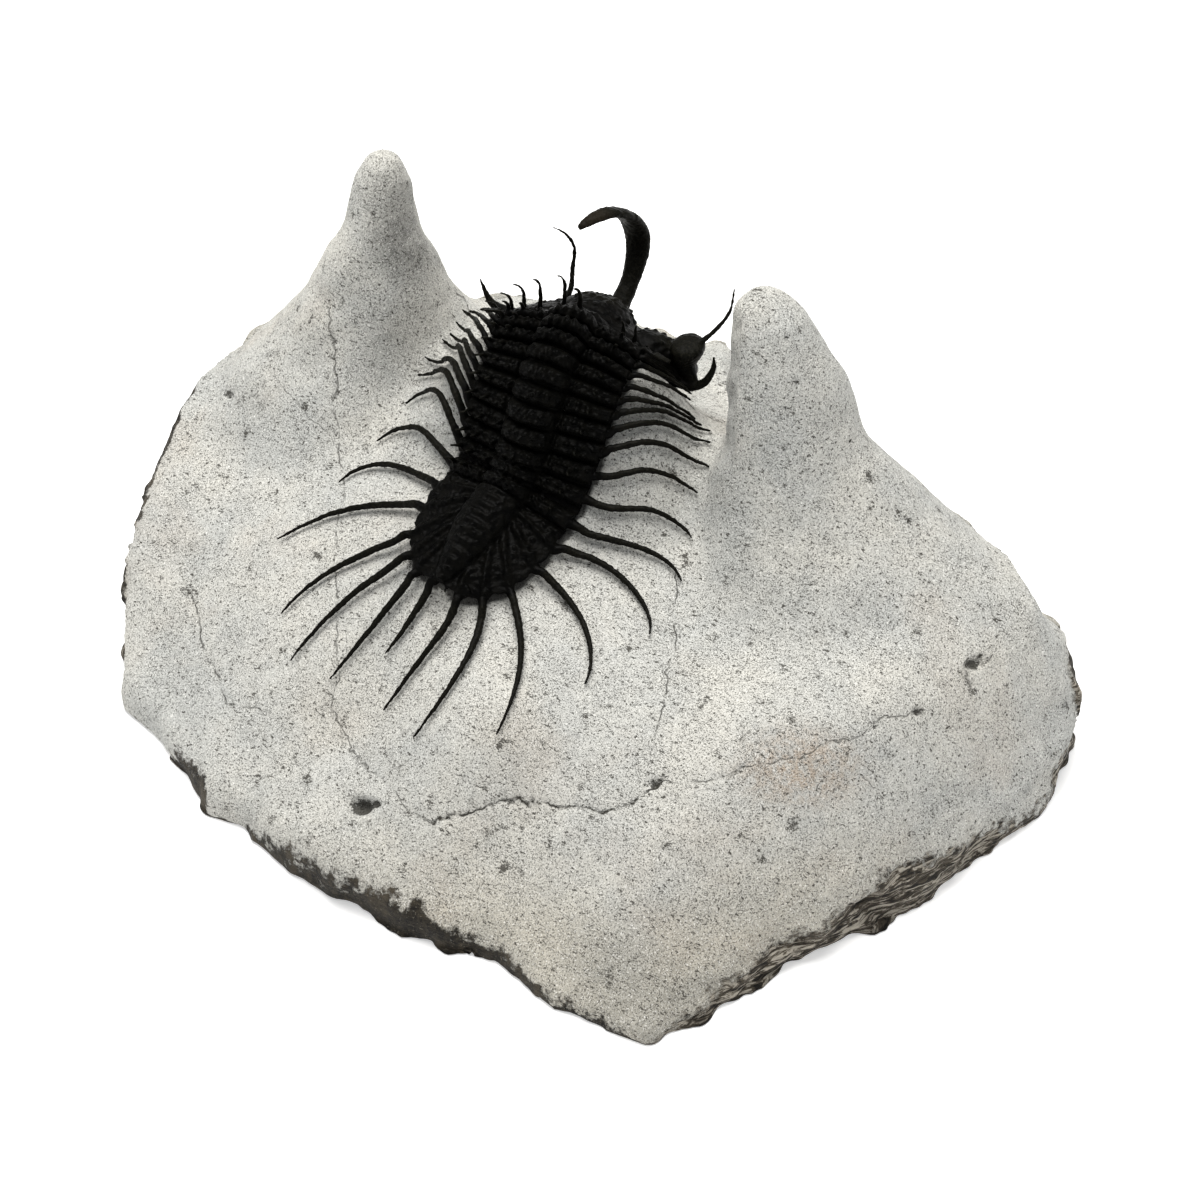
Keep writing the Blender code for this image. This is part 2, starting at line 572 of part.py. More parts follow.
def make_head(collection, cutters):
    """The head shield with its tubercled middle lobe, both eyes, the horn and the spines."""
    bm = bmesh.new()
    loft(bm, [plate_ring(s) for s in HEAD_SECTIONS])
    head = new_object("head_shield", bm, collection)

    for name, (centre, radii) in LOBES.items():
        bm = bmesh.new()
        bmesh.ops.create_icosphere(bm, subdivisions=2, radius=1)
        for vert in bm.verts:
            uneven = 1 + 0.05 * noise.cell(vert.co * 3.1)
            x, along, up = (c + r * uneven * share for c, r, share in zip(centre, radii, vert.co))
            s = HEAD_START + along
            across = x / table(HALF_WIDTHS, s)
            vert.co = body_point(s, across, max(up, underside(s, across) + 0.5))
        boolean(head, as_cutter(new_object(name, bm, cutters)), "UNION")

    for number, (foot, top, size) in enumerate(EYES, 1):
        foot, top = Vector(foot), Vector(top)
        bm = bmesh.new()
        rings = []
        for share, radius in EYE_RADII:
            centre = foot.lerp(top, share)
            rings.append([centre + size * radius * Vector((math.cos(a), 1.15 * math.sin(a), 0)) for a in
                          [math.tau * k / 12 for k in range(12)]])
        loft(bm, rings)
        boolean(head, as_cutter(new_object(f"eye_{number}", bm, cutters)), "UNION")

    bm = bmesh.new()
    rings = []
    places = [Vector(place) for place, _, _ in HORN]
    for k, (place, width, thickness) in enumerate(HORN):
        along = (places[min(k + 1, len(places) - 1)] - places[max(k - 1, 0)]).normalized()
        across = (Vector((1, 0, 0)) - along * along.x).normalized()
        normal = along.cross(across)
        rings.append([places[k] + across * (0.5 * width * math.cos(a)) + normal * (0.5 * thickness * math.sin(a))
                      for a in [math.tau * n / 8 for n in range(8)]])
    loft(bm, rings)
    boolean(head, as_cutter(new_object("horn", bm, cutters)), "UNION")

    paths = [[(Vector(place), radius) for *place, radius in row] for row in HEAD_SPINES]
    for across, length, lean in BORDER_HOOKS:
        paths.append(upright_hook(HEAD_START + 1.1, across, length, lean, 0.42))
    paths.append(upright_hook(HEAD_START + 1.1, 0, 3.0, -0.8, 0.45))
    boolean(head, tubes("head_spines", paths, 6, cutters), "UNION")
    return head


def remove_everything():
    for thing in list(bpy.data.objects):
        bpy.data.objects.remove(thing, do_unlink=True)


def new_collection(name):
    made = bpy.data.collections.new(name)
    bpy.context.scene.collection.children.link(made)
    return made


def build():
    remove_everything()
    specimen = new_collection("trilobite_specimen")
    cutters = new_collection("cutters")
    block = make_block(specimen, cutters)
    bpy.context.view_layer.update()
    surface = BVHTree.FromObject(block, bpy.context.evaluated_depsgraph_get())

    def rock(place):
        """Height of the finished block at a place in plan."""
        hit = surface.ray_cast(Vector((place[0], place[1], 100)) * MM, Vector((0, 0, -1)))
        return hit[0].z / MM

    plates = [make_tail(rock, specimen, cutters)]
    rear = TAIL_LENGTH
    for k, pitch in enumerate(SEGMENT_PITCHES):
        number = len(SEGMENT_PITCHES) - k
        plates.append(make_segment(number, rear + pitch, rear, rock, specimen, cutters))
        rear += pitch
    plates.append(make_head(specimen, cutters))
    for plate in plates:
        plate.data.materials.append(material(f"black_shell_{plate.name}", (0.012, 0.012, 0.011), 0.35))

    middle = bpy.data.objects.new("specimen_middle", None)
    middle.location = (-BOX_CENTRE[0] * MM, -BOX_CENTRE[1] * MM, 0)
    for thing in [*specimen.objects, *cutters.objects]:
        thing.parent = middle
    specimen.objects.link(middle)
    bpy.context.view_layer.update()


build()
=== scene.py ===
import functools
import math
import random

import bmesh
import bpy
import numpy as np
from mathutils import Matrix, Vector, kdtree, noise
from mathutils.bvhtree import BVHTree


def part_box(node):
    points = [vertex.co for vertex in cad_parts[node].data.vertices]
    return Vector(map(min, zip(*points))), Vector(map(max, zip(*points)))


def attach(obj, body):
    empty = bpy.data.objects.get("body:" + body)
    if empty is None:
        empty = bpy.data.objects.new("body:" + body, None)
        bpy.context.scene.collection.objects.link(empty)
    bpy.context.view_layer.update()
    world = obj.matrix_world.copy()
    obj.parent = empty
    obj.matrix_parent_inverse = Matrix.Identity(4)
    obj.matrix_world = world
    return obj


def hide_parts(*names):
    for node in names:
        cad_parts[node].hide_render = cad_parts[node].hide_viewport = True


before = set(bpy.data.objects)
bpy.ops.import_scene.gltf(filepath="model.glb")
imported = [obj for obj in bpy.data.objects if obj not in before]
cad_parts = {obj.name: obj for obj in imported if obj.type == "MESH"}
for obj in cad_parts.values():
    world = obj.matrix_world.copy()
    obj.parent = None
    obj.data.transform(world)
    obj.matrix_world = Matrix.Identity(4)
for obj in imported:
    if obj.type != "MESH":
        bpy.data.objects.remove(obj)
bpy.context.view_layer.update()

bpy.ops.object.select_all(action="DESELECT")

# The studio: a white sweep with one large soft lamp high above, a little to the left and behind, and
# light thrown back from all round. The camera looks down on the specimen from in front, a little to the
# right of its tail. Lengths are in millimetres.
MM = 0.001
CAMERA_EYE = Vector((141.85, -294.1, 346.2))
CAMERA_AIM = Vector((7.35, -5.7, 28.0))
CAMERA_LENS = 111.12
CAMERA_SENSOR = 36.0
PICTURE_SIDE = 1200
LAMP_PLACE = Vector((-120, 130, 830))
LAMP_SIZE = 620
LAMP_POWER = 10.8
LAMP_COLOUR = (1.0, 0.985, 0.955)
ROOM_LIGHT = 0.40
ROOM_COLOUR = (0.97, 0.985, 1, 1)
FLOOR_SIDE = 6000
FLOOR_DROP = 0.2
PAPER_GREY = (0.88, 0.88, 0.88, 1)
PAPER_GLOW = 0.42


def aimed(place):
    return (CAMERA_AIM - place).to_track_quat("-Z", "Y").to_euler()


def adjust(thing, **settings):
    for name, value in settings.items():
        setattr(thing, name, value)


bpy.ops.object.camera_add(location=CAMERA_EYE * MM, rotation=aimed(CAMERA_EYE))
camera = bpy.context.object
camera.name = "camera"
adjust(camera.data, lens=CAMERA_LENS, sensor_width=CAMERA_SENSOR, sensor_fit="HORIZONTAL", clip_start=10 * MM)
bpy.context.scene.camera = camera

bpy.ops.object.light_add(type="AREA", location=LAMP_PLACE * MM, rotation=aimed(LAMP_PLACE))
lamp = bpy.context.object
lamp.name = "soft_lamp"
adjust(lamp.data, size=LAMP_SIZE * MM, energy=LAMP_POWER, color=LAMP_COLOUR)


def fill(made, sockets):
    """Sets or links a node's inputs."""
    for key, value in sockets.items():
        if isinstance(value, bpy.types.NodeSocket):
            tree.links.new(value, made.inputs[key])
        else:
            made.inputs[key].default_value = value


def add_node(kind, sockets, output=0, **settings):
    """Adds a node to the tree that is being built, and gives one of its outputs."""
    made = tree.nodes.new("ShaderNode" + kind)
    adjust(made, **settings)
    fill(made, sockets)
    return made.outputs[output]


def new_material(name):
    """A material, its nodes and its shader."""
    made = bpy.data.materials.new(name)
    made.use_nodes = True
    return made, made.node_tree, made.node_tree.nodes["Principled BSDF"]


world = bpy.data.worlds.new("studio")
world.use_nodes = True
bpy.context.scene.world = world
tree = world.node_tree
tree.nodes.clear()
seen = add_node("LightPath", {})
backdrop = add_node("Background", {"Color": (1, 1, 1, 1)})
room = add_node("Background", {"Color": ROOM_COLOUR, "Strength": ROOM_LIGHT})
mixed = add_node("MixShader", {0: seen, 1: room, 2: backdrop})
fill(tree.nodes.new("ShaderNodeOutputWorld"), {"Surface": mixed})

bpy.ops.mesh.primitive_plane_add(size=FLOOR_SIDE * MM, location=(0, 0, 0))
sweep_floor = bpy.context.object
sweep_floor.name = "studio_floor"
sweep_floor.data.transform(Matrix.Translation((0, 0, -FLOOR_DROP * MM)))
paper, tree, shader = new_material("white_paper")
fill(shader, {"Base Color": PAPER_GREY, "Roughness": 0.9, "Specular IOR Level": 0.1,
              "Emission Color": (1, 1, 1, 1), "Emission Strength": PAPER_GLOW})
sweep_floor.data.materials.append(paper)
bpy.context.scene.view_settings.view_transform = "Standard"

# The animal's own lines, which the rock was cleaned to and the shell follows: the midline at the level
# of its margins, from the tail over the arched back and down to the front of the head, and the shell's
# width and height along it. Lengths are in millimetres from the animal's midline.
SPECIMEN_MIDDLE = Vector((7.05, 45.6, 0))
TAIL_END = (-4.9, 35.2, 26.2)
SLOPES = (
    (0, 16), (12, 18), (15.4, 28), (18, 46), (21, 58), (24, 62), (27, 58), (29.5, 48),
    (32, 32), (35, 10), (38, -10), (40.5, -19), (44, -28), (54, -34),
)
HEADINGS = ((0, 11), (14, 11), (38, -2), (44, 4), (54, 8))
ROLLS = ((0, 4), (30, 4), (38, 0), (54, -1))
TAIL_LENGTH = 14.0
RING_PITCHES = (2.9, 2.9, 2.8, 2.7, 2.4, 2.0, 1.8, 1.7, 1.6, 1.6, 1.6)
HEAD_LENGTH = 14.5
PLATE_GAP = 0.34
HEAD_START = TAIL_LENGTH + sum(RING_PITCHES)
HEAD_END = HEAD_START + HEAD_LENGTH
HEAD_EDGE = HEAD_START - 0.05
THORAX_HALF_WIDTH = 9.2
HALF_WIDTHS = (
    (0, 2.8), (1, 4.7), (3, 6.5), (6, 7.8), (10, 8.5), (14, 8.8), (25, 9.1), (37.86, THORAX_HALF_WIDTH),
    (37.94, 12.9), (41, 13.7), (44.5, 13.2), (47.5, 11.5), (50, 8.6), (51.6, 5.4), (52.5, 2.8),
)
AXIS_SHARE = 0.36
AXIS_HEIGHTS = ((0, 1.0), (7, 2.2), (12, 2.5), (30, 2.4), (38, 1.5), (40.5, 1.1), (43.5, 0))
AXIS_HALF_WIDTH_AT_HEAD = 3.6
SHELL = 1.1
CROWN_EXTRA = 0.7
MARGIN_HEIGHT = 0.5
SIDE_RISE = 2.0
CHEEK_DROP = 5.0
HEAD_RISE = 6.0
CHEEK_SWEEP = 0.7
MIDLINE_STEP = 0.25


@functools.lru_cache(maxsize=65536)
def table(rows, x):
    """Reads a table of (place, value) rows at x, with straight lines between the rows."""
    places, values = zip(*rows)
    return float(np.interp(x, places, values))


def direction(s):
    """Which way the midline runs at arc length s from the end of the tail."""
    slope, heading = math.radians(table(SLOPES, s)), math.radians(table(HEADINGS, s))
    flat = math.cos(slope)
    return Vector((flat * math.sin(heading), flat * math.cos(heading), math.sin(slope)))


def trace_midline():
    point = Vector(TAIL_END) - SPECIMEN_MIDDLE
    points = []
    for k in range(int((HEAD_END + 2) / MIDLINE_STEP) + 1):
        points.append(point.copy())
        point += MIDLINE_STEP * direction((k + 0.5) * MIDLINE_STEP)
    return points


MIDLINE = trace_midline()


@functools.lru_cache(maxsize=4096)
def body_frame(s):
    """Origin, right, ahead and up of the animal at arc length s."""
    k = min(max(s / MIDLINE_STEP, 0), len(MIDLINE) - 1.001)
    origin = MIDLINE[int(k)].lerp(MIDLINE[int(k) + 1], k - int(k))
    ahead = direction(s)
    right = ahead.cross(Vector((0, 0, 1))).normalized()
    right = Matrix.Rotation(math.radians(table(ROLLS, s)), 3, ahead) @ right
    return origin, right, ahead, right.cross(ahead)


def half_width(s):
    return table(HALF_WIDTHS, s)


def body_point(s, across, height, beyond=0.0):
    """A point at a share of the half width, plus a distance beyond it, and a height over the margins."""
    origin, right, ahead, up = body_frame(s)
    side = across * half_width(s) + math.copysign(beyond, across)
    forwards = 0.0
    if s > HEAD_EDGE:
        forwards = CHEEK_SWEEP * max(0, abs(side) - THORAX_HALF_WIDTH) * (HEAD_END - s) / HEAD_LENGTH
    return origin + right * side + ahead * forwards + up * height


def dome(s, across):
    """Height of the shell's top over its margins: a raised axis between sloping sides."""
    side = min(1, abs(across))
    if s > HEAD_EDGE:
        arch = HEAD_RISE * math.sqrt(max(0.02, 1 - (max(0, s - HEAD_START) / HEAD_LENGTH) ** 3))
        off_axis = side * half_width(s) / AXIS_HALF_WIDTH_AT_HEAD
        axis = table(AXIS_HEIGHTS, s) * math.sqrt(max(0, 1 - off_axis**2))
        return arch * (1 - side**2.5) - CHEEK_DROP + MARGIN_HEIGHT + axis
    tail_end = min(1, (s + 1.5) / 9)
    axis_share = AXIS_SHARE * (0.55 + 0.45 * tail_end)
    axis = table(AXIS_HEIGHTS, s) * math.sqrt(max(0, 1 - (side / axis_share) ** 2))
    return MARGIN_HEIGHT + SIDE_RISE * (1 - side**2.6) * (0.45 + 0.55 * tail_end) + axis


def underside(s, across):
    return dome(s, across) - SHELL - CROWN_EXTRA * (1 - min(1, abs(across)))


# The block: pale, fine-grained limestone. Its top was cleaned down to the fossil with an air pen, which
# left two tall pillars and a smooth granular surface. Its sides are as the hammer broke them, dark and
# weathered, in thin beds at the right, and several healed cracks run through it.
COARSE_VOXEL = 0.8
FINE_VOXEL = 0.515
FLOOR_REACH = 6.0
RIM_WIDTH = 6.0
MERGE_REACH = 0.02
ON_FLOOR = 0.05
EASE_STEPS = 26
MELD_STEPS = 7
PILLAR_SPARED = 0.8
PILLAR_EASED = (36, 50)
PILLAR_SWELL = 0.85
PILLAR_SWELLED = (34, 47)
PILLAR_TOPS = 45
BED_STEEPER = ((34, 1.0), (39, 1.45))
BED_SECTION = ((3.2, -3.9), (2.0, -2.3), (1.0, -1.15), (0.35, -0.5), (0, -0.22))
BED_STEP = 0.6
BED_DEPTH = 4.0
SEAT_CLEARANCE = 0.12
SURFACE_WAVES = ((9.0, 0.24), (3.2, 0.13), (1.1, 0.07))
BROKEN_WAVES = ((7.0, 1.1), (3.0, 0.5), (1.3, 0.16))
NEAR_RIM = (1.5, 4.0)
# Where the dark broken edge begins, in pixels of the 1200-pixel picture.
BROKEN_EDGE = (
    (90, 770), (172, 752), (180, 757), (200, 762), (217, 779), (223, 815), (240, 827), (257, 834),
    (290, 841), (323, 861), (337, 874), (363, 881), (393, 891), (407, 907), (420, 898), (440, 920),
    (460, 930), (480, 942), (520, 968), (560, 998), (600, 1020), (640, 1044), (665, 1032), (700, 1008),
    (750, 968), (780, 947), (800, 935), (840, 913), (868, 890), (893, 868), (915, 862), (947, 853),
    (987, 833), (1013, 822), (1033, 811), (1050, 790), (1053, 770), (1058, 752), (1090, 745),
)
BROKEN_BLUR = 40
BEDDED_FROM = 655
BEDDED_BLUR = 25
# Cracks in the same pixels, each with its half width in millimetres and how dark it shows.
CRACKS = (
    (0.06, 0.62, ((334, 300), (336, 427), (344, 472), (334, 555), (339, 638), (334, 724), (349, 746),
                  (393, 788))),
    (0.05, 0.45, ((272, 370), (300, 402), (330, 440))),
    (0.07, 0.75, ((191, 598), (205, 651), (215, 683), (228, 705), (259, 711))),
    (0.05, 0.75, ((678, 577), (669, 656), (660, 717), (655, 745))),
    (0.10, 1.0, ((430, 825), (447, 818), (470, 812), (500, 803), (520, 800), (560, 806), (600, 812),
                 (628, 806), (650, 790), (664, 778))),
    (0.07, 0.6, ((664, 778), (700, 786), (740, 770), (762, 764), (800, 757), (850, 740), (880, 722),
                 (920, 711))),
    (0.06, 0.6, ((340, 745), (362, 762), (390, 786), (412, 808), (430, 825))),
    (0.25, 1.0, ((985, 659), (972, 662), (966, 671), (971, 685))),
    (0.05, 0.5, ((862, 775), (872, 790), (880, 797))),
    (0.07, 0.8, ((455, 292), (470, 316), (482, 330))),
)
CRACK_WAVES = ((30, 7), (9, 3))
CRACK_DEPTH = 0.16
CRACK_GROOVE = 0.4
# Hollows in the same pixels: place, radius, depth in millimetres.
HOLLOWS = (
    (360, 806, 15, 1.5), (374, 804, 8, 0.8), (655, 784, 10, 0.5), (664, 776, 6, 0.4), (918, 712, 8, 0.5),
    (975, 664, 11, 0.7), (512, 802, 7, 0.4), (532, 801, 5, 0.3), (448, 819, 5, 0.3), (787, 334, 5, 0.3),
    (795, 380, 7, 0.3), (786, 407, 4, 0.3), (852, 441, 5, 0.3), (910, 521, 6, 0.3), (335, 341, 6, 0.3),
    (233, 397, 8, 0.4), (740, 771, 5, 0.3), (258, 417, 4, 0.2), (784, 450, 4, 0.3), (876, 727, 5, 0.3),
)
# A rusty stain in the same pixels: place and reach; and patches of painted shade, in grey, with their
# strengths.
STAIN = (800, 768, 95)
PAINTED_SHADE_PATCHES = (
    (405, 240, 60, 0.65), (392, 190, 40, 0.35), (395, 350, 70, 0.28), (712, 490, 60, 0.2),
    (640, 985, 110, 0.22), (255, 420, 40, 0.15), (690, 455, 40, 0.15),
)
# Where the block stands a little fuller or leaner, in the same pixels: place, reach, millimetres.
SWELLS = (
    (335, 262, 45, 1.1), (300, 312, 60, 1.4), (245, 355, 60, 1.4), (200, 395, 55, 1.1), (168, 455, 60, 0.9),
    (146, 520, 60, 0.8), (134, 600, 70, 0.7), (128, 680, 55, 0.7), (268, 845, 40, 1.2), (385, 152, 30, 0.5),
    (425, 215, 45, -0.8), (850, 385, 50, 0.6), (905, 470, 55, 0.5), (305, 872, 75, 1.8),
    (212, 808, 50, 1.1), (152, 728, 40, 0.8), (470, 960, 60, -1.3), (545, 1003, 40, 0.5),
    (640, 1045, 40, 0.8), (790, 972, 65, -1.6), (865, 930, 55, -1.2),
)
LEFT_SWELLS = ((736, 332, 30, -1.0), (731, 362, 30, -1.4), (727, 402, 32, -1.7), (722, 442, 34, -1.4))
TOP_SWELLS = ((720, 358, 32, 2.2),)
# Where its whole edge stands further out: place and reach in pixels, then millimetres right and up.
EDGE_SHIFTS = ((1042, 596, 100, 1.1, 0.7),)
# A long chip off the left edge in the same pixels.
SLIVER = ((204, 384), (186, 420), (165, 460), (152, 495), (146, 520))
SLIVER_HALF_WIDTH = 7
BED_THICKNESS = 0.8
BED_LENGTH = 7
BED_RELIEF = 0.6
HIDDEN_RUGGEDNESS = 0.9
FIT_REACH = 15.0
RIM_SWELL = 0.12
UNDER_SHELL_SHADE = 0.85
COVER_DEPTH = 1.2
UNDER_SHELL_FREEDOM = 0.2
ANIMAL_X = (-32, 12)
ANIMAL_Y = (-14, 40)
SKY = 90
COOL_STONE = (0.60, 0.605, 0.575)
WARM_STONE = (0.72, 0.705, 0.645)
TAN_STONE = (0.60, 0.535, 0.455)
PAINTED_SHADE_GREY = (0.16, 0.16, 0.15)
RUSTY_STONE = (0.50, 0.42, 0.34)
MOTTLE_TINT = (0.88, 0.88, 0.89)
WEATHER_TINT = (0.80, 0.77, 0.72)
GRAIN_TINT = (0.76, 0.76, 0.76)
PALE_GRAIN = (0.90, 0.89, 0.85)
FLECK = (0.045, 0.041, 0.033)
CRACK_AND_HOLLOW_DARK = (0.045, 0.042, 0.034)
CRUST_BLACK = (0.008, 0.0065, 0.0045)
CRUST_BROWN = (0.045, 0.037, 0.025)
CRUST_TAN = (0.11, 0.09, 0.062)
CRUST_GRAIN = (0.30, 0.27, 0.21)
BED_BROWN = (0.085, 0.07, 0.05)
BED_PALE = (0.52, 0.475, 0.40)
UNDER_SHELL_SHADE_BLACK = (0.004, 0.004, 0.003)


def only(thing):
    bpy.ops.object.select_all(action="DESELECT")
    thing.select_set(True)
    bpy.context.view_layer.objects.active = thing


def apply_modifier(thing, kind, **settings):
    only(thing)
    added = thing.modifiers.new(kind.lower(), kind)
    adjust(added, **settings)
    bpy.ops.object.modifier_apply(modifier=added.name)


def remesh(thing, voxel):
    apply_modifier(thing, "REMESH", mode="VOXEL", voxel_size=voxel * MM)


def join(first, *others):
    only(first)
    for other in others:
        other.select_set(True)
    bpy.ops.object.join()
    return first


def places_of(mesh, kind="co"):
    """A mesh's points in millimetres, or its normals."""
    values = np.empty(len(mesh.vertices) * 3, np.float32)
    mesh.vertices.foreach_get(kind, values)
    return values.reshape(-1, 3).astype(float) * (1 / MM if kind == "co" else 1)


def move_to(mesh, places):
    mesh.vertices.foreach_set("co", (places * MM).astype(np.float32).ravel())
    mesh.update()


def write_attributes(mesh, **values):
    for name, each in values.items():
        attribute = mesh.attributes.new(name, "FLOAT", "POINT")
        attribute.data.foreach_set("value", np.asarray(each, np.float32))


def rise(x, low, high):
    share = np.clip((x - low) / (high - low), 0, 1)
    return share * share * (3 - 2 * share)


def fall(x, low, high):
    return 1 - rise(x, low, high)


def new_object(name, data):
    thing = bpy.data.objects.new(name, data)
    bpy.context.scene.collection.objects.link(thing)
    return thing


def form_through(name, rings, turn=1):
    """A closed form through rings of points, capped at both ends; turn is -1 for rings that run back."""
    count = len(rings[0])
    last = (len(rings) - 1) * count
    faces = [tuple(range(count))[::-turn], tuple(range(last, last + count))[::turn]]
    for row in range(0, last, count):
        for k in range(count):
            a, b = (row + k, row + (k + 1) % count)[::turn]
            faces.append((a, b, b + count, a + count))
    mesh = bpy.data.meshes.new(name)
    mesh.from_pydata([p * MM for ring in rings for p in ring], [], faces)
    return new_object(name, mesh)


def tree_of(points):
    """A tree to find the nearest of some points in."""
    made = kdtree.KDTree(len(points))
    for k, p in enumerate(points):
        made.insert(p, k)
    made.balance()
    return made


def drop_on(form, x, y):
    """The top point of a form at a place in plan, if there is one."""
    return form.ray_cast(Vector((x, y, SKY)), Vector((0, 0, -1)))[0]


block = new_object("prepared_block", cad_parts["matrix_rock"].data.copy())
only(block)
bpy.ops.object.mode_set(mode="EDIT")
bpy.ops.mesh.select_all(action="SELECT")
bpy.ops.mesh.remove_doubles(threshold=MERGE_REACH * MM)
bpy.ops.mesh.normals_make_consistent(inside=False)
bpy.ops.object.mode_set(mode="OBJECT")

shape = bmesh.new()
shape.from_mesh(block.data)
outline = []
for edge in shape.edges:
    if max(v.co.z for v in edge.verts) < ON_FLOOR * MM and any(f.normal.z > -0.7 for f in edge.link_faces):
        a, b = (v.co / MM for v in edge.verts)
        parts = max(1, int((b - a).length))
        outline += [a.lerp(b, k / parts) for k in range(parts + 1)]
for vert in shape.verts:
    if vert.co.z < ON_FLOOR * MM:
        vert.co.z = -FLOOR_REACH * MM
shape.to_mesh(block.data)
shape.free()
outline_tree = tree_of([(p.x, p.y, 0) for p in outline])


def rim_distance(places):
    return np.array([outline_tree.find((x, y, 0))[2] for x, y, _ in places])


remesh(block, COARSE_VOXEL)
ease = block.vertex_groups.new(name="ease")
coarse = places_of(block.data)
inland = np.clip((rim_distance(coarse) - 1) / RIM_WIDTH, 0.1, 1)
inland *= 1 - PILLAR_SPARED * rise(coarse[:, 2], *PILLAR_EASED)
inland = np.maximum(1, np.round(10 * inland))
for level in range(1, 11):
    ease.add([int(i) for i in np.nonzero(inland == level)[0]], level / 10, "REPLACE")
apply_modifier(block, "SMOOTH", factor=0.5, iterations=EASE_STEPS, vertex_group="ease")
block.vertex_groups.clear()
# The easing draws the pillars in, so they are swelled back to their girth.
coarse = places_of(block.data)
swell = PILLAR_SWELL * rise(coarse[:, 2], *PILLAR_SWELLED)
move_to(block.data, coarse + places_of(block.data, "normal") * swell[:, None])

# Under the animal and just beyond its margins the rock comes right up to the shell.
rings = []
for s in np.arange(-0.8, HEAD_END + 0.9, BED_STEP):
    steeper = table(BED_STEEPER, s)
    left = [(-1, out, drop * steeper) for out, drop in BED_SECTION]
    middle = [(share, 0, -SEAT_CLEARANCE - 0.1) for share in (-0.7, -0.35, 0, 0.35, 0.7)]
    right = [(1, out, drop * steeper) for out, drop in reversed(BED_SECTION)]
    top = [body_point(s, share, underside(s, share) + drop, out)
           for share, out, drop in left + middle + right]
    rings.append(top + [p - Vector((0, 0, BED_DEPTH)) for p in reversed(top)])
bed = form_through("bed", rings, -1)
join(block, bed)
remesh(block, FINE_VOXEL)
apply_modifier(block, "SMOOTH", factor=0.5, iterations=MELD_STEPS)

only(block)
bpy.ops.object.mode_set(mode="EDIT")
bpy.ops.mesh.select_all(action="SELECT")
bpy.ops.mesh.bisect(plane_co=(0, 0, 0), plane_no=(0, 0, 1), use_fill=True, clear_inner=True)
bpy.ops.object.mode_set(mode="OBJECT")

places = places_of(block.data)
normals = places_of(block.data, "normal")
view_ahead = (CAMERA_AIM - CAMERA_EYE).normalized()
view_right = view_ahead.cross(Vector((0, 0, 1))).normalized()
view_up = view_right.cross(view_ahead)
focal = PICTURE_SIDE * CAMERA_LENS / CAMERA_SENSOR
# Where each point of the block falls in the picture.
seen_from = places - np.array(CAMERA_EYE)
depth = seen_from @ np.array(view_ahead)
pixels = np.stack([PICTURE_SIDE / 2 + focal * (seen_from @ np.array(view_right)) / depth,
                   PICTURE_SIDE / 2 - focal * (seen_from @ np.array(view_up)) / depth], 1)
pixels_per_mm = focal / (CAMERA_AIM - CAMERA_EYE).length
facing = -(normals @ np.array(view_ahead))
in_view = rise(facing, 0.02, 0.2)
from_rim = rim_distance(places)
wall = fall(normals[:, 2], 0.3, 0.6) * fall(from_rim, 1.5, 3.5)
edge_x, edge_y = zip(*BROKEN_EDGE)
below_edge = np.clip(0.5 + (pixels[:, 1] - np.interp(pixels[:, 0], edge_x, edge_y)) / BROKEN_BLUR, 0, 1)
below_edge *= fall(from_rim, 8, 11)
hidden_side = wall * (1 - 0.75 * rise(places[:, 2], 5, 20))
broken = below_edge * in_view + hidden_side * (1 - in_view)


def around(x, y, reach, core=0.1):
    """How near the points are to a place in the picture: 1 at its core, 0 from its reach on."""
    return fall(np.hypot(pixels[:, 0] - x, pixels[:, 1] - y) / reach, core, 1)


def away_from(spots, a, b):
    """How far spots are from a line between two others, and on which side of it."""
    along = np.array(b, float) - np.array(a, float)
    offset = spots - np.array(a, float)
    share = np.clip(offset @ along / (along @ along), 0, 1)
    side = np.sign(along[0] * offset[:, 1] - along[1] * offset[:, 0])
    return np.linalg.norm(offset - share[:, None] * along, axis=1), side


for a, b in zip(SLIVER, SLIVER[1:]):
    broken = np.maximum(broken, fall(away_from(pixels, a, b)[0], 0, SLIVER_HALF_WIDTH))
bedded = rise(pixels[:, 0], BEDDED_FROM - BEDDED_BLUR, BEDDED_FROM + BEDDED_BLUR)
bedded = bedded * in_view + (1 - in_view) * 0.5


def wandering(start, spot, seed):
    """A coordinate of a spot in the picture, after the waves that cracks wander in."""
    for size, reach in CRACK_WAVES:
        start += reach * noise.noise(Vector((*spot / size, seed)))
        seed += 1
    return start


crack_side = np.full(len(places), 9.0)
darkness = np.zeros(len(places))
warped = np.array([(wandering(spot[0], spot, 1), wandering(spot[1], spot, 3)) for spot in pixels])
nearest = np.full(len(places), 1e9)
for width, strength, line in CRACKS:
    for a, b in zip(line, line[1:]):
        away, side = away_from(warped, a, b)
        away = away / pixels_per_mm
        closer = away < nearest
        nearest = np.where(closer, away, nearest)
        crack_side = np.where(closer, side * np.minimum(away, 2.0) / width, crack_side)
        darkness = np.where(closer, strength, darkness)
crack_near = fall(nearest, 0.5, 1.4) * in_view * darkness
hollow = np.zeros(len(places))
sink = np.zeros(len(places))
for x, y, radius, depth in HOLLOWS:
    away = np.hypot((pixels[:, 0] - x) / radius, (pixels[:, 1] - y) / (0.75 * radius))
    share = fall(away, 0.25, 1.1)
    hollow = np.maximum(hollow, share * min(1, 0.45 + depth / 2) * in_view)
    sink = np.maximum(sink, depth * share * in_view)

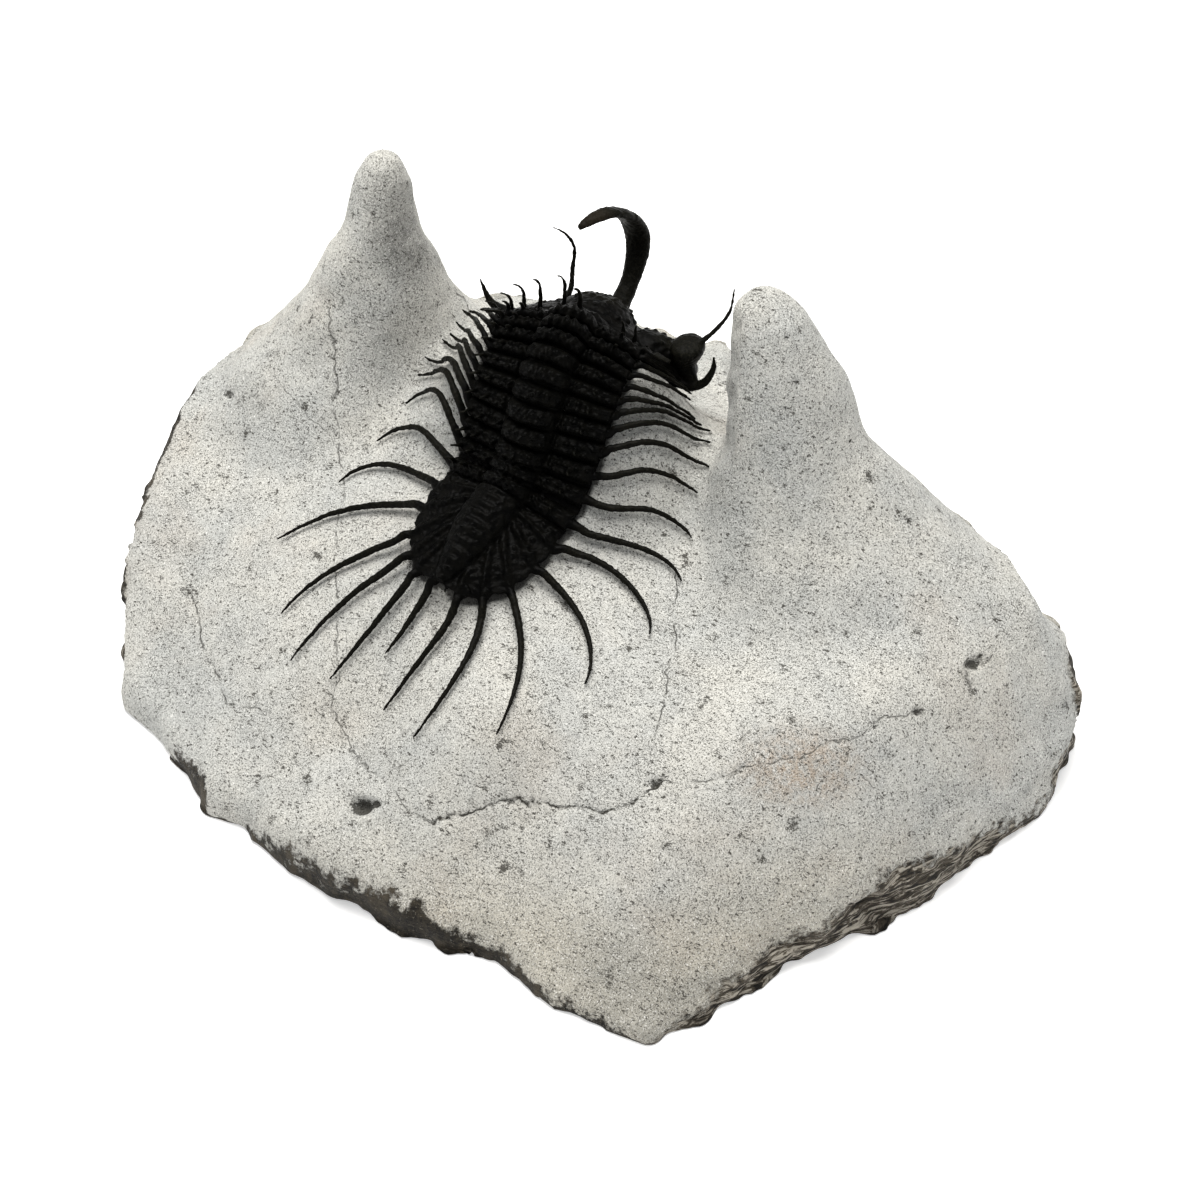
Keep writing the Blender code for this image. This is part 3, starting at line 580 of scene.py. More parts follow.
under_points, under_faces = [], []
under_rows = [*np.arange(-0.4, HEAD_EDGE, 0.4), *np.arange(HEAD_EDGE + 0.01, HEAD_END + 0.4, 0.4)]
under_places = [(-1, 0.4), *((share, 0) for share in np.linspace(-1, 1, 25)), (1, 0.4)]
for s in under_rows:
    under_points += [body_point(s, a, underside(s, a), out) for a, out in under_places]
for row in range(len(under_rows) - 1):
    for k in range(len(under_places) - 1):
        a = row * len(under_places) + k
        under_faces.append((a, a + 1, a + 1 + len(under_places), a + len(under_places)))
under_tree = BVHTree.FromPolygons(under_points, under_faces)
shell_above = np.full(len(places), np.inf)
for k, (x, y, z) in enumerate(places):
    if ANIMAL_X[0] < x < ANIMAL_X[1] and ANIMAL_Y[0] < y < ANIMAL_Y[1]:
        hit = drop_on(under_tree, x, y)
        if hit:
            shell_above[k] = hit.z

swell, swell_share = np.zeros(len(places)), np.zeros(len(places))
for rows, turned in ((SWELLS, 1), (LEFT_SWELLS, rise(-normals[:, 0], 0.3, 0.7)),
                     (TOP_SWELLS, rise(normals[:, 2], 0.2, 0.6))):
    for x, y, reach, fuller in rows:
        share = around(x, y, reach, 0.15) * (rise(facing, -0.5, 0.05) * turned)
        swell += fuller * share
        swell_share += share
push = swell / np.maximum(1, swell_share)
ragged = np.zeros(len(places))
near_rim = fall(from_rim, *NEAR_RIM)
outwards = places[:, :2] / np.linalg.norm(places[:, :2], axis=1)[:, None]
for k, (x, y, z) in enumerate(places):
    spot = Vector((x, y, z))
    for size, height in SURFACE_WAVES:
        push[k] += height * noise.noise(spot / size)
    if near_rim[k] > 0:
        for size, height in BROKEN_WAVES:
            rugged = height * (1 + HIDDEN_RUGGEDNESS * (1 - in_view[k]))
            ragged[k] += rugged * noise.noise(Vector((x, y, (0.5 + bedded[k]) * z)) / size)
        level = z / BED_THICKNESS + 0.6 * noise.noise(spot / 3)
        layer = noise.noise(Vector((x / BED_LENGTH, y / BED_LENGTH, level)))
        ragged[k] += BED_RELIEF * bedded[k] * broken[k] * layer
free = np.where(np.isfinite(shell_above), UNDER_SHELL_FREEDOM, 1.0)
push = push * free - sink
push -= CRACK_DEPTH * np.exp(-(nearest / CRACK_GROOVE) ** 2) * crack_near
grounded = places[:, 2] < 0.01
places = places + normals * push[:, None]
for x, y, reach, rightwards, upwards in EDGE_SHIFTS:
    places += around(x, y, reach)[:, None] * np.array(rightwards * view_right + upwards * view_up)
places[:, :2] += outwards * ((ragged + RIM_SWELL) * near_rim)[:, None]
places[grounded, 2] = 0
places[:, 2] = np.minimum(np.maximum(places[:, 2], 0), shell_above - SEAT_CLEARANCE)
lows, highs = (np.array(corner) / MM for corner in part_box("matrix_rock"))
places[:, :2] = np.clip(places[:, :2], lows[:2], highs[:2])
for axis in (0, 1):
    low, high = places[:, axis].min(), places[:, axis].max()
    from_low, from_high = places[:, axis] - low, high - places[:, axis]
    places[:, axis] += (lows[axis] - low) * fall(from_low, 0, FIT_REACH)
    places[:, axis] += (highs[axis] - high) * fall(from_high, 0, FIT_REACH)
top = places[:, 2].max()
places[:, 2] += (highs[2] - top) * np.clip((places[:, 2] - PILLAR_TOPS) / (top - PILLAR_TOPS), 0, 1)
move_to(block.data, places)
# Painted shade: the rock just under the shell, where the shell shades it, is painted near black.
covered = np.isfinite(shell_above) & (places[:, 2] > shell_above - COVER_DEPTH)
stain_x, stain_y, reach = STAIN
stain_share = np.hypot(pixels[:, 0] - stain_x, 1.6 * (pixels[:, 1] - stain_y)) / reach
# Painted shade: grey patches where the stone lies in shade.
greyed = np.zeros(len(places))
for x, y, reach, strength in PAINTED_SHADE_PATCHES:
    greyed = np.maximum(greyed, strength * around(x, y, reach) * in_view)
write_attributes(
    block.data,
    broken=broken,
    weathered=fall(from_rim, 3, 16) * (1 - in_view * fall(pixels[:, 1], 760, 960)),
    covered=UNDER_SHELL_SHADE * covered,
    bedded=bedded,
    crack_side=crack_side,
    crack_near=crack_near,
    hollow=hollow,
    stain=fall(stain_share, 0.1, 1) * in_view,
    greyed=greyed,
)
block.data.shade_smooth()


def mixture(share, a, b, blend="MIX"):
    """A colour mixed by a share from two, each a socket or its red, green and blue."""
    a, b = (colour if isinstance(colour, bpy.types.NodeSocket) else (*colour, 1) for colour in (a, b))
    return add_node("Mix", {0: share, 6: a, 7: b}, 2, data_type="RGBA", blend_type=blend)


def tinted(colour, tint):
    return mixture(1.0, colour, tint, "MULTIPLY")


def ramp(value, low, high, start=0.0, end=1.0):
    return add_node("MapRange", {"Value": value, "From Min": low, "From Max": high,
                                 "To Min": start, "To Max": end})


def maths(operation, a, b=0.0, c=0.0):
    return add_node("Math", {0: a, 1: b, 2: c}, operation=operation)


def in_millimetres(stretch=(1, 1, 1)):
    """Object coordinates in millimetres."""
    spot = add_node("TexCoord", {}, "Object")
    return add_node("Mapping", {"Vector": spot, "Scale": [share / MM for share in stretch]})


def speckle(grains_per_mm, detail, roughness, distortion=0.0, at=None):
    """Noise on the piece's own coordinates, or on stretched ones."""
    return add_node("TexNoise", {"Vector": at or where, "Scale": grains_per_mm, "Detail": detail,
                                 "Roughness": roughness, "Distortion": distortion})


def spots(coordinates, spots_per_mm, radius, edge):
    """Scattered spots of every size up to a radius, as a share of their spacing."""
    distance = add_node("TexVoronoi", {"Vector": coordinates, "Scale": spots_per_mm}, "Distance")
    chance = add_node("SeparateColor", {"Color": distance.node.outputs["Color"]}, "Red")
    reach = ramp(chance, 0.45, 1.0, 0, radius)
    return ramp(maths("SUBTRACT", reach, distance), 0, edge)


def vertex_value(name):
    return add_node("Attribute", {}, "Fac", attribute_name=name)


def roughened(name, noise_value, reach):
    """A value of the mesh with noise added, so that what it bounds gets a ragged border."""
    return maths("ADD", vertex_value(name), maths("MULTIPLY_ADD", noise_value, 2 * reach, -reach))


limestone, tree, shader = new_material("cleaned_limestone")
where = in_millimetres()
cloud = speckle(0.07, 4, 0.6)
tan_cloud = speckle(0.045, 3, 0.6, 0.4)
grain = speckle(4.5, 3, 0.7)
mottle = speckle(0.9, 4, 0.65)
pale = mixture(ramp(cloud, 0.36, 0.62), COOL_STONE, WARM_STONE)
pale = mixture(ramp(tan_cloud, 0.56, 0.72, 0, 0.45), pale, TAN_STONE)
# Painted shade: the stone is greyed in the patches where it lies in shade.
painted_shade_share = maths("MULTIPLY", vertex_value("greyed"), ramp(mottle, 0.36, 0.60, 0.55, 1.3))
pale = mixture(painted_shade_share, pale, PAINTED_SHADE_GREY)
rust = maths("MULTIPLY", vertex_value("stain"), ramp(mottle, 0.40, 0.58, 0.25, 1.0))
pale = mixture(rust, pale, RUSTY_STONE)
pale = mixture(ramp(mottle, 0.30, 0.70), tinted(pale, MOTTLE_TINT), pale)
pale = mixture(vertex_value("weathered"), pale, tinted(pale, WEATHER_TINT))
pale = mixture(ramp(grain, 0.36, 0.64), tinted(pale, GRAIN_TINT), pale)
# Dark mineral flecks, thicker in some places than in others, and fewer, larger dark pits.
crowding = ramp(speckle(0.16, 3, 0.6), 0.32, 0.68, 0.022, -0.018)
long_grains = in_millimetres((0.62, 1.25, 1.1))
warp = add_node("TexNoise", {"Vector": where, "Scale": 3.2, "Detail": 2}, "Color")
bent = add_node("VectorMath", {0: warp, 1: (0.8, 0.8, 0.8), 2: long_grains}, operation="MULTIPLY_ADD")
flecks = maths("MAXIMUM", spots(bent, 1.7, 0.36, 0.12), spots(bent, 3.0, 0.46, 0.15))
fine_noise = maths("SUBTRACT", speckle(6.0, 3, 0.65, 0.6), crowding)
fine_flecks = ramp(fine_noise, 0.555, 0.615, 0, 0.8)
pit_noise = maths("ADD", speckle(0.45, 2, 0.4),
                  maths("MULTIPLY", speckle(3.4, 3, 0.6, 1.0, long_grains), 0.75))
pits = ramp(pit_noise, 1.10, 1.16)
dark_share = maths("MAXIMUM", maths("MAXIMUM", flecks, fine_flecks), pits)
pale_grains = ramp(speckle(5.2, 3, 0.6, 0.8), 0.56, 0.66, 0, 0.75)
surface = mixture(pale_grains, pale, PALE_GRAIN)
surface = mixture(maths("MULTIPLY", dark_share, 0.92), surface, FLECK)
# Cracks and hollows, darkened; each hollow the more, the deeper it is.
crack_line = maths("ABSOLUTE", roughened("crack_side", speckle(1.3, 3, 0.6), 4.5))
crack_break = ramp(speckle(0.5, 3, 0.6), 0.40, 0.54, 0.12, 1)
crack = maths("MULTIPLY", ramp(crack_line, 0.6, 2.2, 1, 0),
              maths("MULTIPLY", vertex_value("crack_near"), crack_break))
hollow_dark = ramp(roughened("hollow", speckle(2.2, 4, 0.65), 0.8), 0.42, 0.62, 0, 0.9)
crack_and_hollow_dark = maths("MAXIMUM", crack, hollow_dark)
surface = mixture(crack_and_hollow_dark, surface, CRACK_AND_HOLLOW_DARK)
# The broken sides: brown-black weathered stone with pale grains, in wavy beds at the right.
broken_share = ramp(roughened("broken", speckle(0.6, 5, 0.68), 0.9), 0.42, 0.60)
crust = mixture(ramp(speckle(1.4, 5, 0.7), 0.40, 0.62), CRUST_BLACK, CRUST_BROWN)
tan_share = ramp(speckle(0.3, 4, 0.6), 0.50, 0.66, 0, 0.6)
crust = mixture(tan_share, crust, CRUST_TAN)
grain_share = ramp(speckle(3.4, 3, 0.6), 0.62, 0.69, 0, 0.6)
crust = mixture(grain_share, crust, CRUST_GRAIN)
beds_at = in_millimetres((0.22, 0.22, 1.5))
bed_noise = speckle(1.3, 7, 0.68, 1.2, beds_at)
beds = mixture(ramp(bed_noise, 0.40, 0.50), CRUST_BLACK, BED_BROWN)
beds = mixture(ramp(bed_noise, 0.51, 0.57), beds, BED_PALE)
patchy = roughened("bedded", speckle(0.12, 4, 0.6), 0.8)
side_colour = mixture(ramp(patchy, 0.42, 0.58), crust, beds)
surface = mixture(broken_share, surface, side_colour)
# Painted shade under the shell, near black.
surface = mixture(vertex_value("covered"), surface, UNDER_SHELL_SHADE_BLACK)
relief = maths("MULTIPLY_ADD", grain, 0.5, maths("MULTIPLY", mottle, 0.55))
relief = maths("SUBTRACT", relief, maths("MULTIPLY", dark_share, 0.30))
relief = maths("SUBTRACT", relief, maths("MULTIPLY", crack_and_hollow_dark, 0.9))
relief = maths("MULTIPLY_ADD", maths("MULTIPLY", bed_noise, broken_share), 2.4, relief)
fill(shader, {
    "Base Color": surface,
    "Roughness": ramp(broken_share, 0, 1, 0.93, 0.72),
    "Specular IOR Level": 0.25,
    "Normal": add_node("Bump", {"Height": relief, "Distance": 0.26 * MM, "Strength": 1.0}),
})


def finish_piece(piece, finish, slot, *nodes):
    piece.data.materials.clear()
    piece.data.materials.append(finish)
    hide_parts(*nodes)
    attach(piece, "root")


finish_piece(block, limestone, "pale_limestone", "matrix_rock")

# The thorax: eleven hinged rings of black, calcite-hard shell, each a raised axis between two flat ribs.
# Every ring carries rows of small knobs, a few short hooks, and at each end a long spine that grew in one
# piece with it and runs out over the rock.
RIGHT_SPINES = (
    (13.5, 67.2, 65, 70, 1.6), (14.2, 67.3, 65, 60, 1.9), (14.6, 66.0, 65, 65, 1.7),
    (15.6, 65.4, 65, 60, 0.3), (16.4, 65.6, 65, 60, 0), (17.7, 65.4, 65, 70, 0),
    (18.5, 63.5, 65, 80, 0), (19.7, 60.3, 75, 115, 0), (19.5, 57.5, 95, 115, 0),
    (20.6, 53.4, 110, 130, 0), (21.4, 48.6, 105, 135, 0),
)
LEFT_SPINES = (
    (-13.0, 66.6, -75, -80, 3.0), (-14.8, 66.8, -70, -80, 4.0), (-17.0, 68.2, -60, -65, 4.5),
    (-18.5, 69.1, -60, -65, 4.5), (-19.2, 68.6, -65, -60, 2.5), (-19.8, 68.0, -65, -70, 0.5),
    (-20.5, 67.0, -65, -75, 0), (-21.5, 64.0, -65, -85, 0), (-21.5, 62.0, -65, -90, 0),
    (-21.5, 58.5, -65, -115, 0), (-23.5, 54.0, -65, -135, 0),
)
SPINE_RADII = ((0, 0.58), (0.25, 0.47), (0.6, 0.36), (0.9, 0.22), (1, 0.14))
SPINE_CLEARANCE = 0.4
SPINE_STATIONS = 14
FIRST_STATION = 0.08
SPINE_TIP_FROM = 0.85
ROOT_INSIDE = 0.82
CLIMB_FROM = 0.6
CLIMB = 0.8
GIRTHS = ((1.6, 0.74), (2.9, 1.0))
# Each hook's steps: shares of its length upwards, of its lean, of its length backwards, and of its radius.
HOOK_STEPS = ((0.48, 0.08, 0, 0.8), (0.80, 0.22, 0.05, 0.62), (0.97, 0.58, 0.14, 0.46), (1, 1, 0.22, 0.3))
HOOK_RADIUS = 0.36
HOOK_FOOT = 0.45
HOOK_TIP_RADIUS = 0.125
# Hooks on a ring: share of the half width, length, lean and radius.
SIDE_HOOKS = ((0.72, 1.5, 0.5, HOOK_RADIUS), (0.45, 0.7, 0.2, 0.32))
LEFT_HOOK = (-0.93, 1.9, -0.9)
MIDDLE_HOOK = (0.02, 0.9, 0.05)
RING_VOXEL = 0.115
GRID_SPACING = 0.14
KNOB_PITCH = 1.05
KNOB_RADIUS = 0.46
KNOB_HEIGHT = 0.52
BAND_SINK = 0.42
BAND_HEIGHT = 0.72
FURROW_DEPTH = 0.22
VALLEY_DEPTH = 0.30
GRAIN_SIZE = 0.55
FINE_GRAIN_SIZE = 0.24
GRAIN_HEIGHT = 0.08
JOINT_OPENING = 4.8
FLANGE_DROP = 0.5
FLANGE_OVERLAP = 0.35
DARK_SHELL = (0.0010, 0.0010, 0.0009)
WARM_SHELL = (0.0028, 0.0026, 0.0020)
DARK_OLIVE = (0.0028, 0.0029, 0.0022)
PALE_OLIVE = (0.013, 0.012, 0.008)
SHELL_CRUMB = (0.08, 0.075, 0.06)
HORN_HIGHLIGHT_BROWN = (0.075, 0.055, 0.036)

rock_faces = [tuple(f.vertices) for f in block.data.polygons]
rock_tree = BVHTree.FromPolygons([Vector(p) for p in places_of(block.data)], rock_faces)


def rock_height(spot):
    hit = drop_on(rock_tree, spot.x, spot.y)
    return hit.z if hit else 0.0


def rest_height(spot, radius):
    """Height of a ball's centre when it is let down on the rock at a place in plan."""
    heights = []
    for reach in (0, 0.5, 0.9):
        for k in range(8 if reach else 1):
            turn = math.tau * k / 8
            beside = spot + reach * radius * Vector((math.cos(turn), math.sin(turn)))
            heights.append(rock_height(beside) + radius * math.sqrt(1 - reach * reach))
    return max(heights)


def compass(degrees):
    """The direction in plan of a heading, clockwise from straight ahead."""
    return Vector((math.sin(math.radians(degrees)), math.cos(math.radians(degrees))))


def plan_curve(start, end, leave, arrive, t):
    """A curve in plan between two places with the headings at which it leaves and ends."""
    pull = (end - start).length
    out, into = pull * compass(leave), pull * compass(arrive)
    a, b, c = t * t * (3 - 2 * t), t * (1 - t) ** 2, t * t * (t - 1)
    return start * (1 - a) + end * a + out * b + into * c


def in_wall(s, across):
    """A point halfway through the shell."""
    return body_point(s, across, 0.5 * (dome(s, across) + underside(s, across)))


def draped_spine(s, side, tip, leave, arrive, lift=0.0, inset=0.0, flare=0.95, girth=1.0):
    """A long spine: from inside the plate's margin, out over the rock and down close above it."""
    edge = in_wall(s, side)
    tip = Vector(tip) - SPECIMEN_MIDDLE.xy
    path = [(in_wall(s + inset, ROOT_INSIDE * side), flare), (edge, max(0.5 * girth, 0.78 * flare))]
    spare = 0
    for k in range(SPINE_STATIONS + 1):
        t = FIRST_STATION + (1 - FIRST_STATION) * k / SPINE_STATIONS
        radius = table(SPINE_RADII, t) * (girth if t < SPINE_TIP_FROM else 1)
        spot = plan_curve(edge.xy, tip, leave, arrive, t)
        lowest = rest_height(spot, radius + SPINE_CLEARANCE)
        if side > 0 and t > CLIMB_FROM:
            lowest = min(lowest, path[-1][0].z + CLIMB / SPINE_STATIONS)
        if not spare:
            spare = max(0.01, edge.z - lowest)
        path.append((Vector((*spot, lowest + spare * (1 - t) ** 2.5 + lift * t)), radius))
    return path


def upright_hook(s, across, length, lean, radius=HOOK_RADIUS):
    """A short hooked spine standing on the shell."""
    _, right, ahead, up = body_frame(s)
    foot = body_point(s, across, dome(s, across) - HOOK_FOOT)
    path = [(foot, 1.5 * radius), (foot + up * 0.7 + right * 0.03 * lean, 1.05 * radius)]
    for upwards, sideways, back, girth in HOOK_STEPS:
        place = foot + up * (HOOK_FOOT + upwards * length) + right * sideways * lean - ahead * back * length
        path.append((place, max(girth * radius, HOOK_TIP_RADIUS)))
    return path


def softened(path, parts=4):
    """A smooth path through points with a radius at each."""
    rows = [Vector((*place, radius)) for place, radius in path]
    rows = [2 * rows[0] - rows[1], *rows, 2 * rows[-1] - rows[-2]]
    fine = []
    for a, b, c, d in zip(rows, rows[1:], rows[2:], rows[3:]):
        for k in range(parts):
            t = k / parts
            fine.append(0.5 * (2 * b + (c - a) * t + (2 * a - 5 * b + 4 * c - d) * t * t
                               + (3 * b - a - 3 * c + d) * t**3))
    fine.append(rows[-2])
    return [(row.xyz, row.w) for row in fine]


def spines_from(name, paths):
    """Round tapering spines along softened paths, as one mesh."""
    curve = bpy.data.curves.new(name, "CURVE")
    adjust(curve, dimensions="3D", bevel_depth=MM, bevel_resolution=3, use_fill_caps=True)
    for path in paths:
        line = softened(path)
        spline = curve.splines.new("POLY")
        spline.points.add(len(line) - 1)
        for point, (place, radius) in zip(spline.points, line):
            point.co = (*(place * MM), 1)
            point.radius = radius * (1 + 0.10 * noise.noise(place / 0.8))
    only(new_object(name, curve))
    bpy.ops.object.convert(target="MESH")
    return bpy.context.view_layer.objects.active


def curved_plate(name, start, end, place, thickness):
    """A grid over part of the back, set on the shell's surface by place(s, across), and given its wall."""
    rows = max(8, round((end - start) / GRID_SPACING))
    columns = round(2 * half_width((start + end) / 2) / GRID_SPACING)
    bpy.ops.mesh.primitive_grid_add(x_subdivisions=columns, y_subdivisions=rows, size=2)
    plate = bpy.context.object
    plate.name = name
    for vert in plate.data.vertices:
        across, share = vert.co.x, 0.5 + 0.5 * vert.co.y
        s = round(start + (end - start) * share, 5)
        vert.co = place(s, across) * MM
    plate.data.update()
    apply_modifier(plate, "SOLIDIFY", thickness=thickness * MM, offset=-1.0)
    return plate


skin_points = []
for s in (*np.arange(0, HEAD_EDGE, 0.5), *np.arange(HEAD_EDGE + 0.02, HEAD_END, 0.5)):
    skin_points += [body_point(s, a, dome(s, a)) for a in np.linspace(-1, 1, 41)]
skin_tree = tree_of(skin_points)


def fused(name, voxel, first, *others):
    """Grows the parts of one plate together, softens the joins and gives the shell its fine grain."""
    piece = join(first, *others)
    piece.name = name
    piece.data.name = name
    remesh(piece, voxel)
    apply_modifier(piece, "SMOOTH", factor=0.5, iterations=3)
    places, normals = places_of(piece.data), places_of(piece.data, "normal")
    push = np.empty(len(places))
    spine = np.empty(len(places))
    for k, (x, y, z) in enumerate(places):
        spot = Vector((x, y, z))
        push[k] = GRAIN_HEIGHT * noise.noise(spot / GRAIN_SIZE)
        push[k] += 0.4 * GRAIN_HEIGHT * noise.noise(spot / FINE_GRAIN_SIZE)
        spine[k] = skin_tree.find(spot)[2]
    move_to(piece.data, places + normals * push[:, None])
    write_attributes(piece.data, spine=rise(spine, 1.0, 2.0))
    piece.data.shade_smooth()
    return piece


shell_black, tree, shader = new_material("black_fossil_shell")
where = in_millimetres()
patches = speckle(0.9, 4, 0.6)
crumbs = speckle(5.0, 4, 0.7)
black = mixture(ramp(patches, 0.40, 0.66), DARK_SHELL, WARM_SHELL)
olive = mixture(ramp(crumbs, 0.42, 0.64), DARK_OLIVE, PALE_OLIVE)
coat = mixture(maths("MULTIPLY", vertex_value("spine"), 0.75), black, olive)
coat = mixture(ramp(crumbs, 0.68, 0.76, 0, 0.25), coat, SHELL_CRUMB)
# Painted highlight: brown on the lit top of the horn.
coat = mixture(vertex_value("worn"), coat, HORN_HIGHLIGHT_BROWN)
pores = add_node("TexVoronoi", {"Vector": where, "Scale": 3.2}, feature="SMOOTH_F1")
skin = maths("MULTIPLY_ADD", crumbs, 0.8, maths("MULTIPLY", pores, -0.5))
fill(shader, {
    "Base Color": coat,
    "Roughness": ramp(patches, 0.3, 0.7, 0.34, 0.56),
    "Specular IOR Level": 0.04,
    "Normal": add_node("Bump", {"Height": skin, "Distance": 0.06 * MM, "Strength": 0.8}),
})


def joint_gap(s):
    """The gap left at a joint: wider where the body bends upwards above it."""
    bend = math.radians(table(SLOPES, s + 1) - table(SLOPES, s - 1)) / 2
    return PLATE_GAP / min(1, 1 - JOINT_OPENING * bend)


def part_way(x, start, stretch):
    """How far x has come along a stretch, from 0 to 1."""
    return min(1, max(0, x - start) / stretch)


def ridge(x, middle, width):
    return math.exp(-((x - middle) / width) ** 2)


def tucked(s, end):
    """How far the front edge of a plate is let down, to slide under the plate ahead of it."""
    return FLANGE_DROP * part_way(s, end, 0.12)


def knob(distance, radius=KNOB_RADIUS):
    return max(0.0, 1 - (distance / radius) ** 2) ** 1.5


def pimple(spot, radius):
    """The height of scattered small knobs, one near each point of a random net."""
    return knob(noise.voronoi(spot)[0][0], radius)


random.seed(11)
rear = TAIL_LENGTH
for number in range(11, 0, -1):
    front = rear + RING_PITCHES[11 - number]
    start, end = rear + joint_gap(rear) / 2, front - joint_gap(front) / 2
    length, reach = end - start, half_width((start + end) / 2)
    knobs = []
    for along in (0.30, 0.74):
        x = -reach + 0.6 + random.random() * 0.5
        while x < reach - 0.5:
            knobs.append((x, start + length * along + random.uniform(-0.12, 0.12), random.uniform(0.7, 1.25)))
            x += KNOB_PITCH * random.uniform(0.8, 1.25)

    def on_ring(s, across, start=start, end=end, length=length, reach=reach, knobs=knobs):
        share = min(1, (s - start) / length)
        band = -BAND_SINK + BAND_HEIGHT * part_way(min(share, 1 - share), 0, 0.26) ** 0.7
        furrow = -FURROW_DEPTH * ridge(share, 0.52, 0.13) * part_way(abs(across), 0.34, 0.1)
        valley = -VALLEY_DEPTH * ridge(abs(across), 0.37, 0.045)
        x = across * reach
        bump = sum(size * knob(math.hypot(x - kx, s - ks)) for kx, ks, size in knobs if abs(x - kx) < 0.5)
        height = dome(s, across) + band + furrow + valley + KNOB_HEIGHT * bump * (1 - 0.4 * abs(across))
        return body_point(s, across, height - tucked(s, end))

    flange_end = end + joint_gap(front) + FLANGE_OVERLAP
    if front > HEAD_START - 0.1:
        flange_end = min(flange_end, HEAD_EDGE)
    plate = curved_plate(f"ring_{number:02d}", start, flange_end, on_ring, SHELL)
    middle = (start + end) / 2
    girth = table(GIRTHS, front - rear)
    flare = 0.30 * (front - rear)
    paths = []
    for side, rows in ((-1, LEFT_SPINES), (1, RIGHT_SPINES)):
        *tip, leave, arrive, lift = rows[number - 1]
        paths.append(draped_spine(middle, side, tip, leave, arrive, lift, flare=flare, girth=girth))
        for across, length, lean, radius in SIDE_HOOKS:
            paths.append(upright_hook(middle, across * side, length, lean * side, radius))
        if side < 0:
            paths.append(upright_hook(middle, *LEFT_HOOK))
    paths.append(upright_hook(middle, *MIDDLE_HOOK))
    ring = fused(f"thorax_ring_{number:02d}", RING_VOXEL, plate, spines_from("spines", paths))
    finish_piece(ring, shell_black, "black_shell", f"thorax_segment_{number:02d}")
    rear = front

# The tail: one fan-shaped plate of the same black shell. Narrow ribs spread from its ringed axis to the
# margin, and each runs on into a long curved spine, with a shallow web of shell between the spines.
TAIL_SPINES = (
    (11.6, -1, -26.0, 48.0, -60, -155), (8.2, -1, -30.5, 39.5, -75, -125),
    (4.6, -1, -25.0, 30.0, -112, -150), (2.2, -1, -21.0, 25.0, -128, -152),
    (0.6, -1, -15.0, 24.0, -158, -145), (0.3, -0.3, -9.0, 27.5, -150, -140),
    (0.3, 0.8, -6.5, 22.0, 175, 210), (1.6, 1, -0.5, 18.5, 155, 215),
    (4.4, 1, 10.0, 20.0, 135, 190), (8.2, 1, 17.0, 30.0, 92, 180), (11.6, 1, 21.0, 40.0, 60, 168),
)
TAIL_VOXEL = 0.131
RIB_CENTRE = 13.5
RIB_HEIGHT = 0.55
RIB_WIDTH = 0.42
AXIS_RINGS_PITCH = 1.35
AXIS_RINGS_HEIGHT = 0.16
SCALLOP = 0.55
SCALLOPED_FROM = 0.8
tail_end = TAIL_LENGTH - joint_gap(TAIL_LENGTH) / 2
rib_headings = [math.atan2(across * half_width(s), RIB_CENTRE - s) for s, across, *_ in TAIL_SPINES]
spine_places = sorted({s for s, across, *_ in TAIL_SPINES if abs(across) == 1})


def on_tail(s, across):
    x = across * half_width(s)
    away = math.hypot(x, RIB_CENTRE - s)
    heading = math.atan2(x, RIB_CENTRE - s)
    ribs = max(math.exp(-((heading - rib) * away / RIB_WIDTH) ** 2) for rib in rib_headings)
    ribs *= part_way(abs(across), 0.22, 0.18)
    rings = AXIS_RINGS_HEIGHT * math.cos(math.tau * s / AXIS_RINGS_PITCH) * max(0, 1 - (across / 0.32) ** 2)
    bump = pimple(Vector((x, s, 3)) / 0.9, 0.42) * 0.30
    scallop = 0.0
    outer = abs(across) - SCALLOPED_FROM
    if outer > 0:
        for a, b in zip(spine_places, spine_places[1:]):
            if a < s < b:
                scallop = -SCALLOP * math.sin(math.pi * (s - a) / (b - a)) * outer / 0.2
    height = dome(s, across) - 0.2 + RIB_HEIGHT * ribs + rings + bump
    return body_point(s, across, height - tucked(s, tail_end), scallop)


tail_plate = curved_plate("tail_plate", 0, tail_end + joint_gap(TAIL_LENGTH) + FLANGE_OVERLAP, on_tail, SHELL)
tail_paths = [draped_spine(s, across, (x, y), leave, arrive, inset=1.2)
              for s, across, x, y, leave, arrive in TAIL_SPINES]
tail = fused("tail_fan", TAIL_VOXEL, tail_plate, spines_from("tail_spines", tail_paths))
finish_piece(tail, shell_black, "black_shell", "tail_shield")

# The head: one shield of black shell, with the knobbed middle lobe, a swollen cheek under the right eye,
# both eyes on their stalks, a row of hooks along its back border, hooked corners, and the long flat horn
# that rises from its front and curls back over it.
HEAD_VOXEL = 0.1375
LOBES = {
    "middle_lobe": ((0, 6.6, 0), (4.9, 5.2, 3.1)),
    "cheek_swelling": ((8.2, 6.2, -2.1), (4.2, 4.0, 3.2)),
}
HORN = (
    ((-0.5, 75.2, 39.8), 3.2, 2.2), ((-0.3, 80.0, 42.0), 2.5, 1.9), ((-0.35, 82.8, 45.5), 3.2, 1.8),
    ((-0.7, 83.0, 48.8), 3.7, 1.7), ((-1.25, 81.3, 52.0), 3.4, 1.5), ((-2.2, 78.6, 54.2), 2.6, 1.2),
    ((-3.4, 76.2, 54.6), 1.9, 1.0), ((-4.3, 74.7, 54.2), 1.1, 0.7), ((-4.55, 74.3, 53.9), 0.5, 0.4),
)
HORN_SIDES = 20
EYES = (
    ((11.3, 71.0, 39.0), (12.4, 70.3, 44.8), 1.0),
    ((-7.8, 74.6, 38.7), (-7.5, 75.1, 40.1), 0.6),
)
EYE_RADII = ((0, 1.9), (0.18, 1.6), (0.35, 1.5), (0.6, 1.9), (0.82, 2.1), (0.93, 1.8), (0.985, 1.1), (1, 0.3))
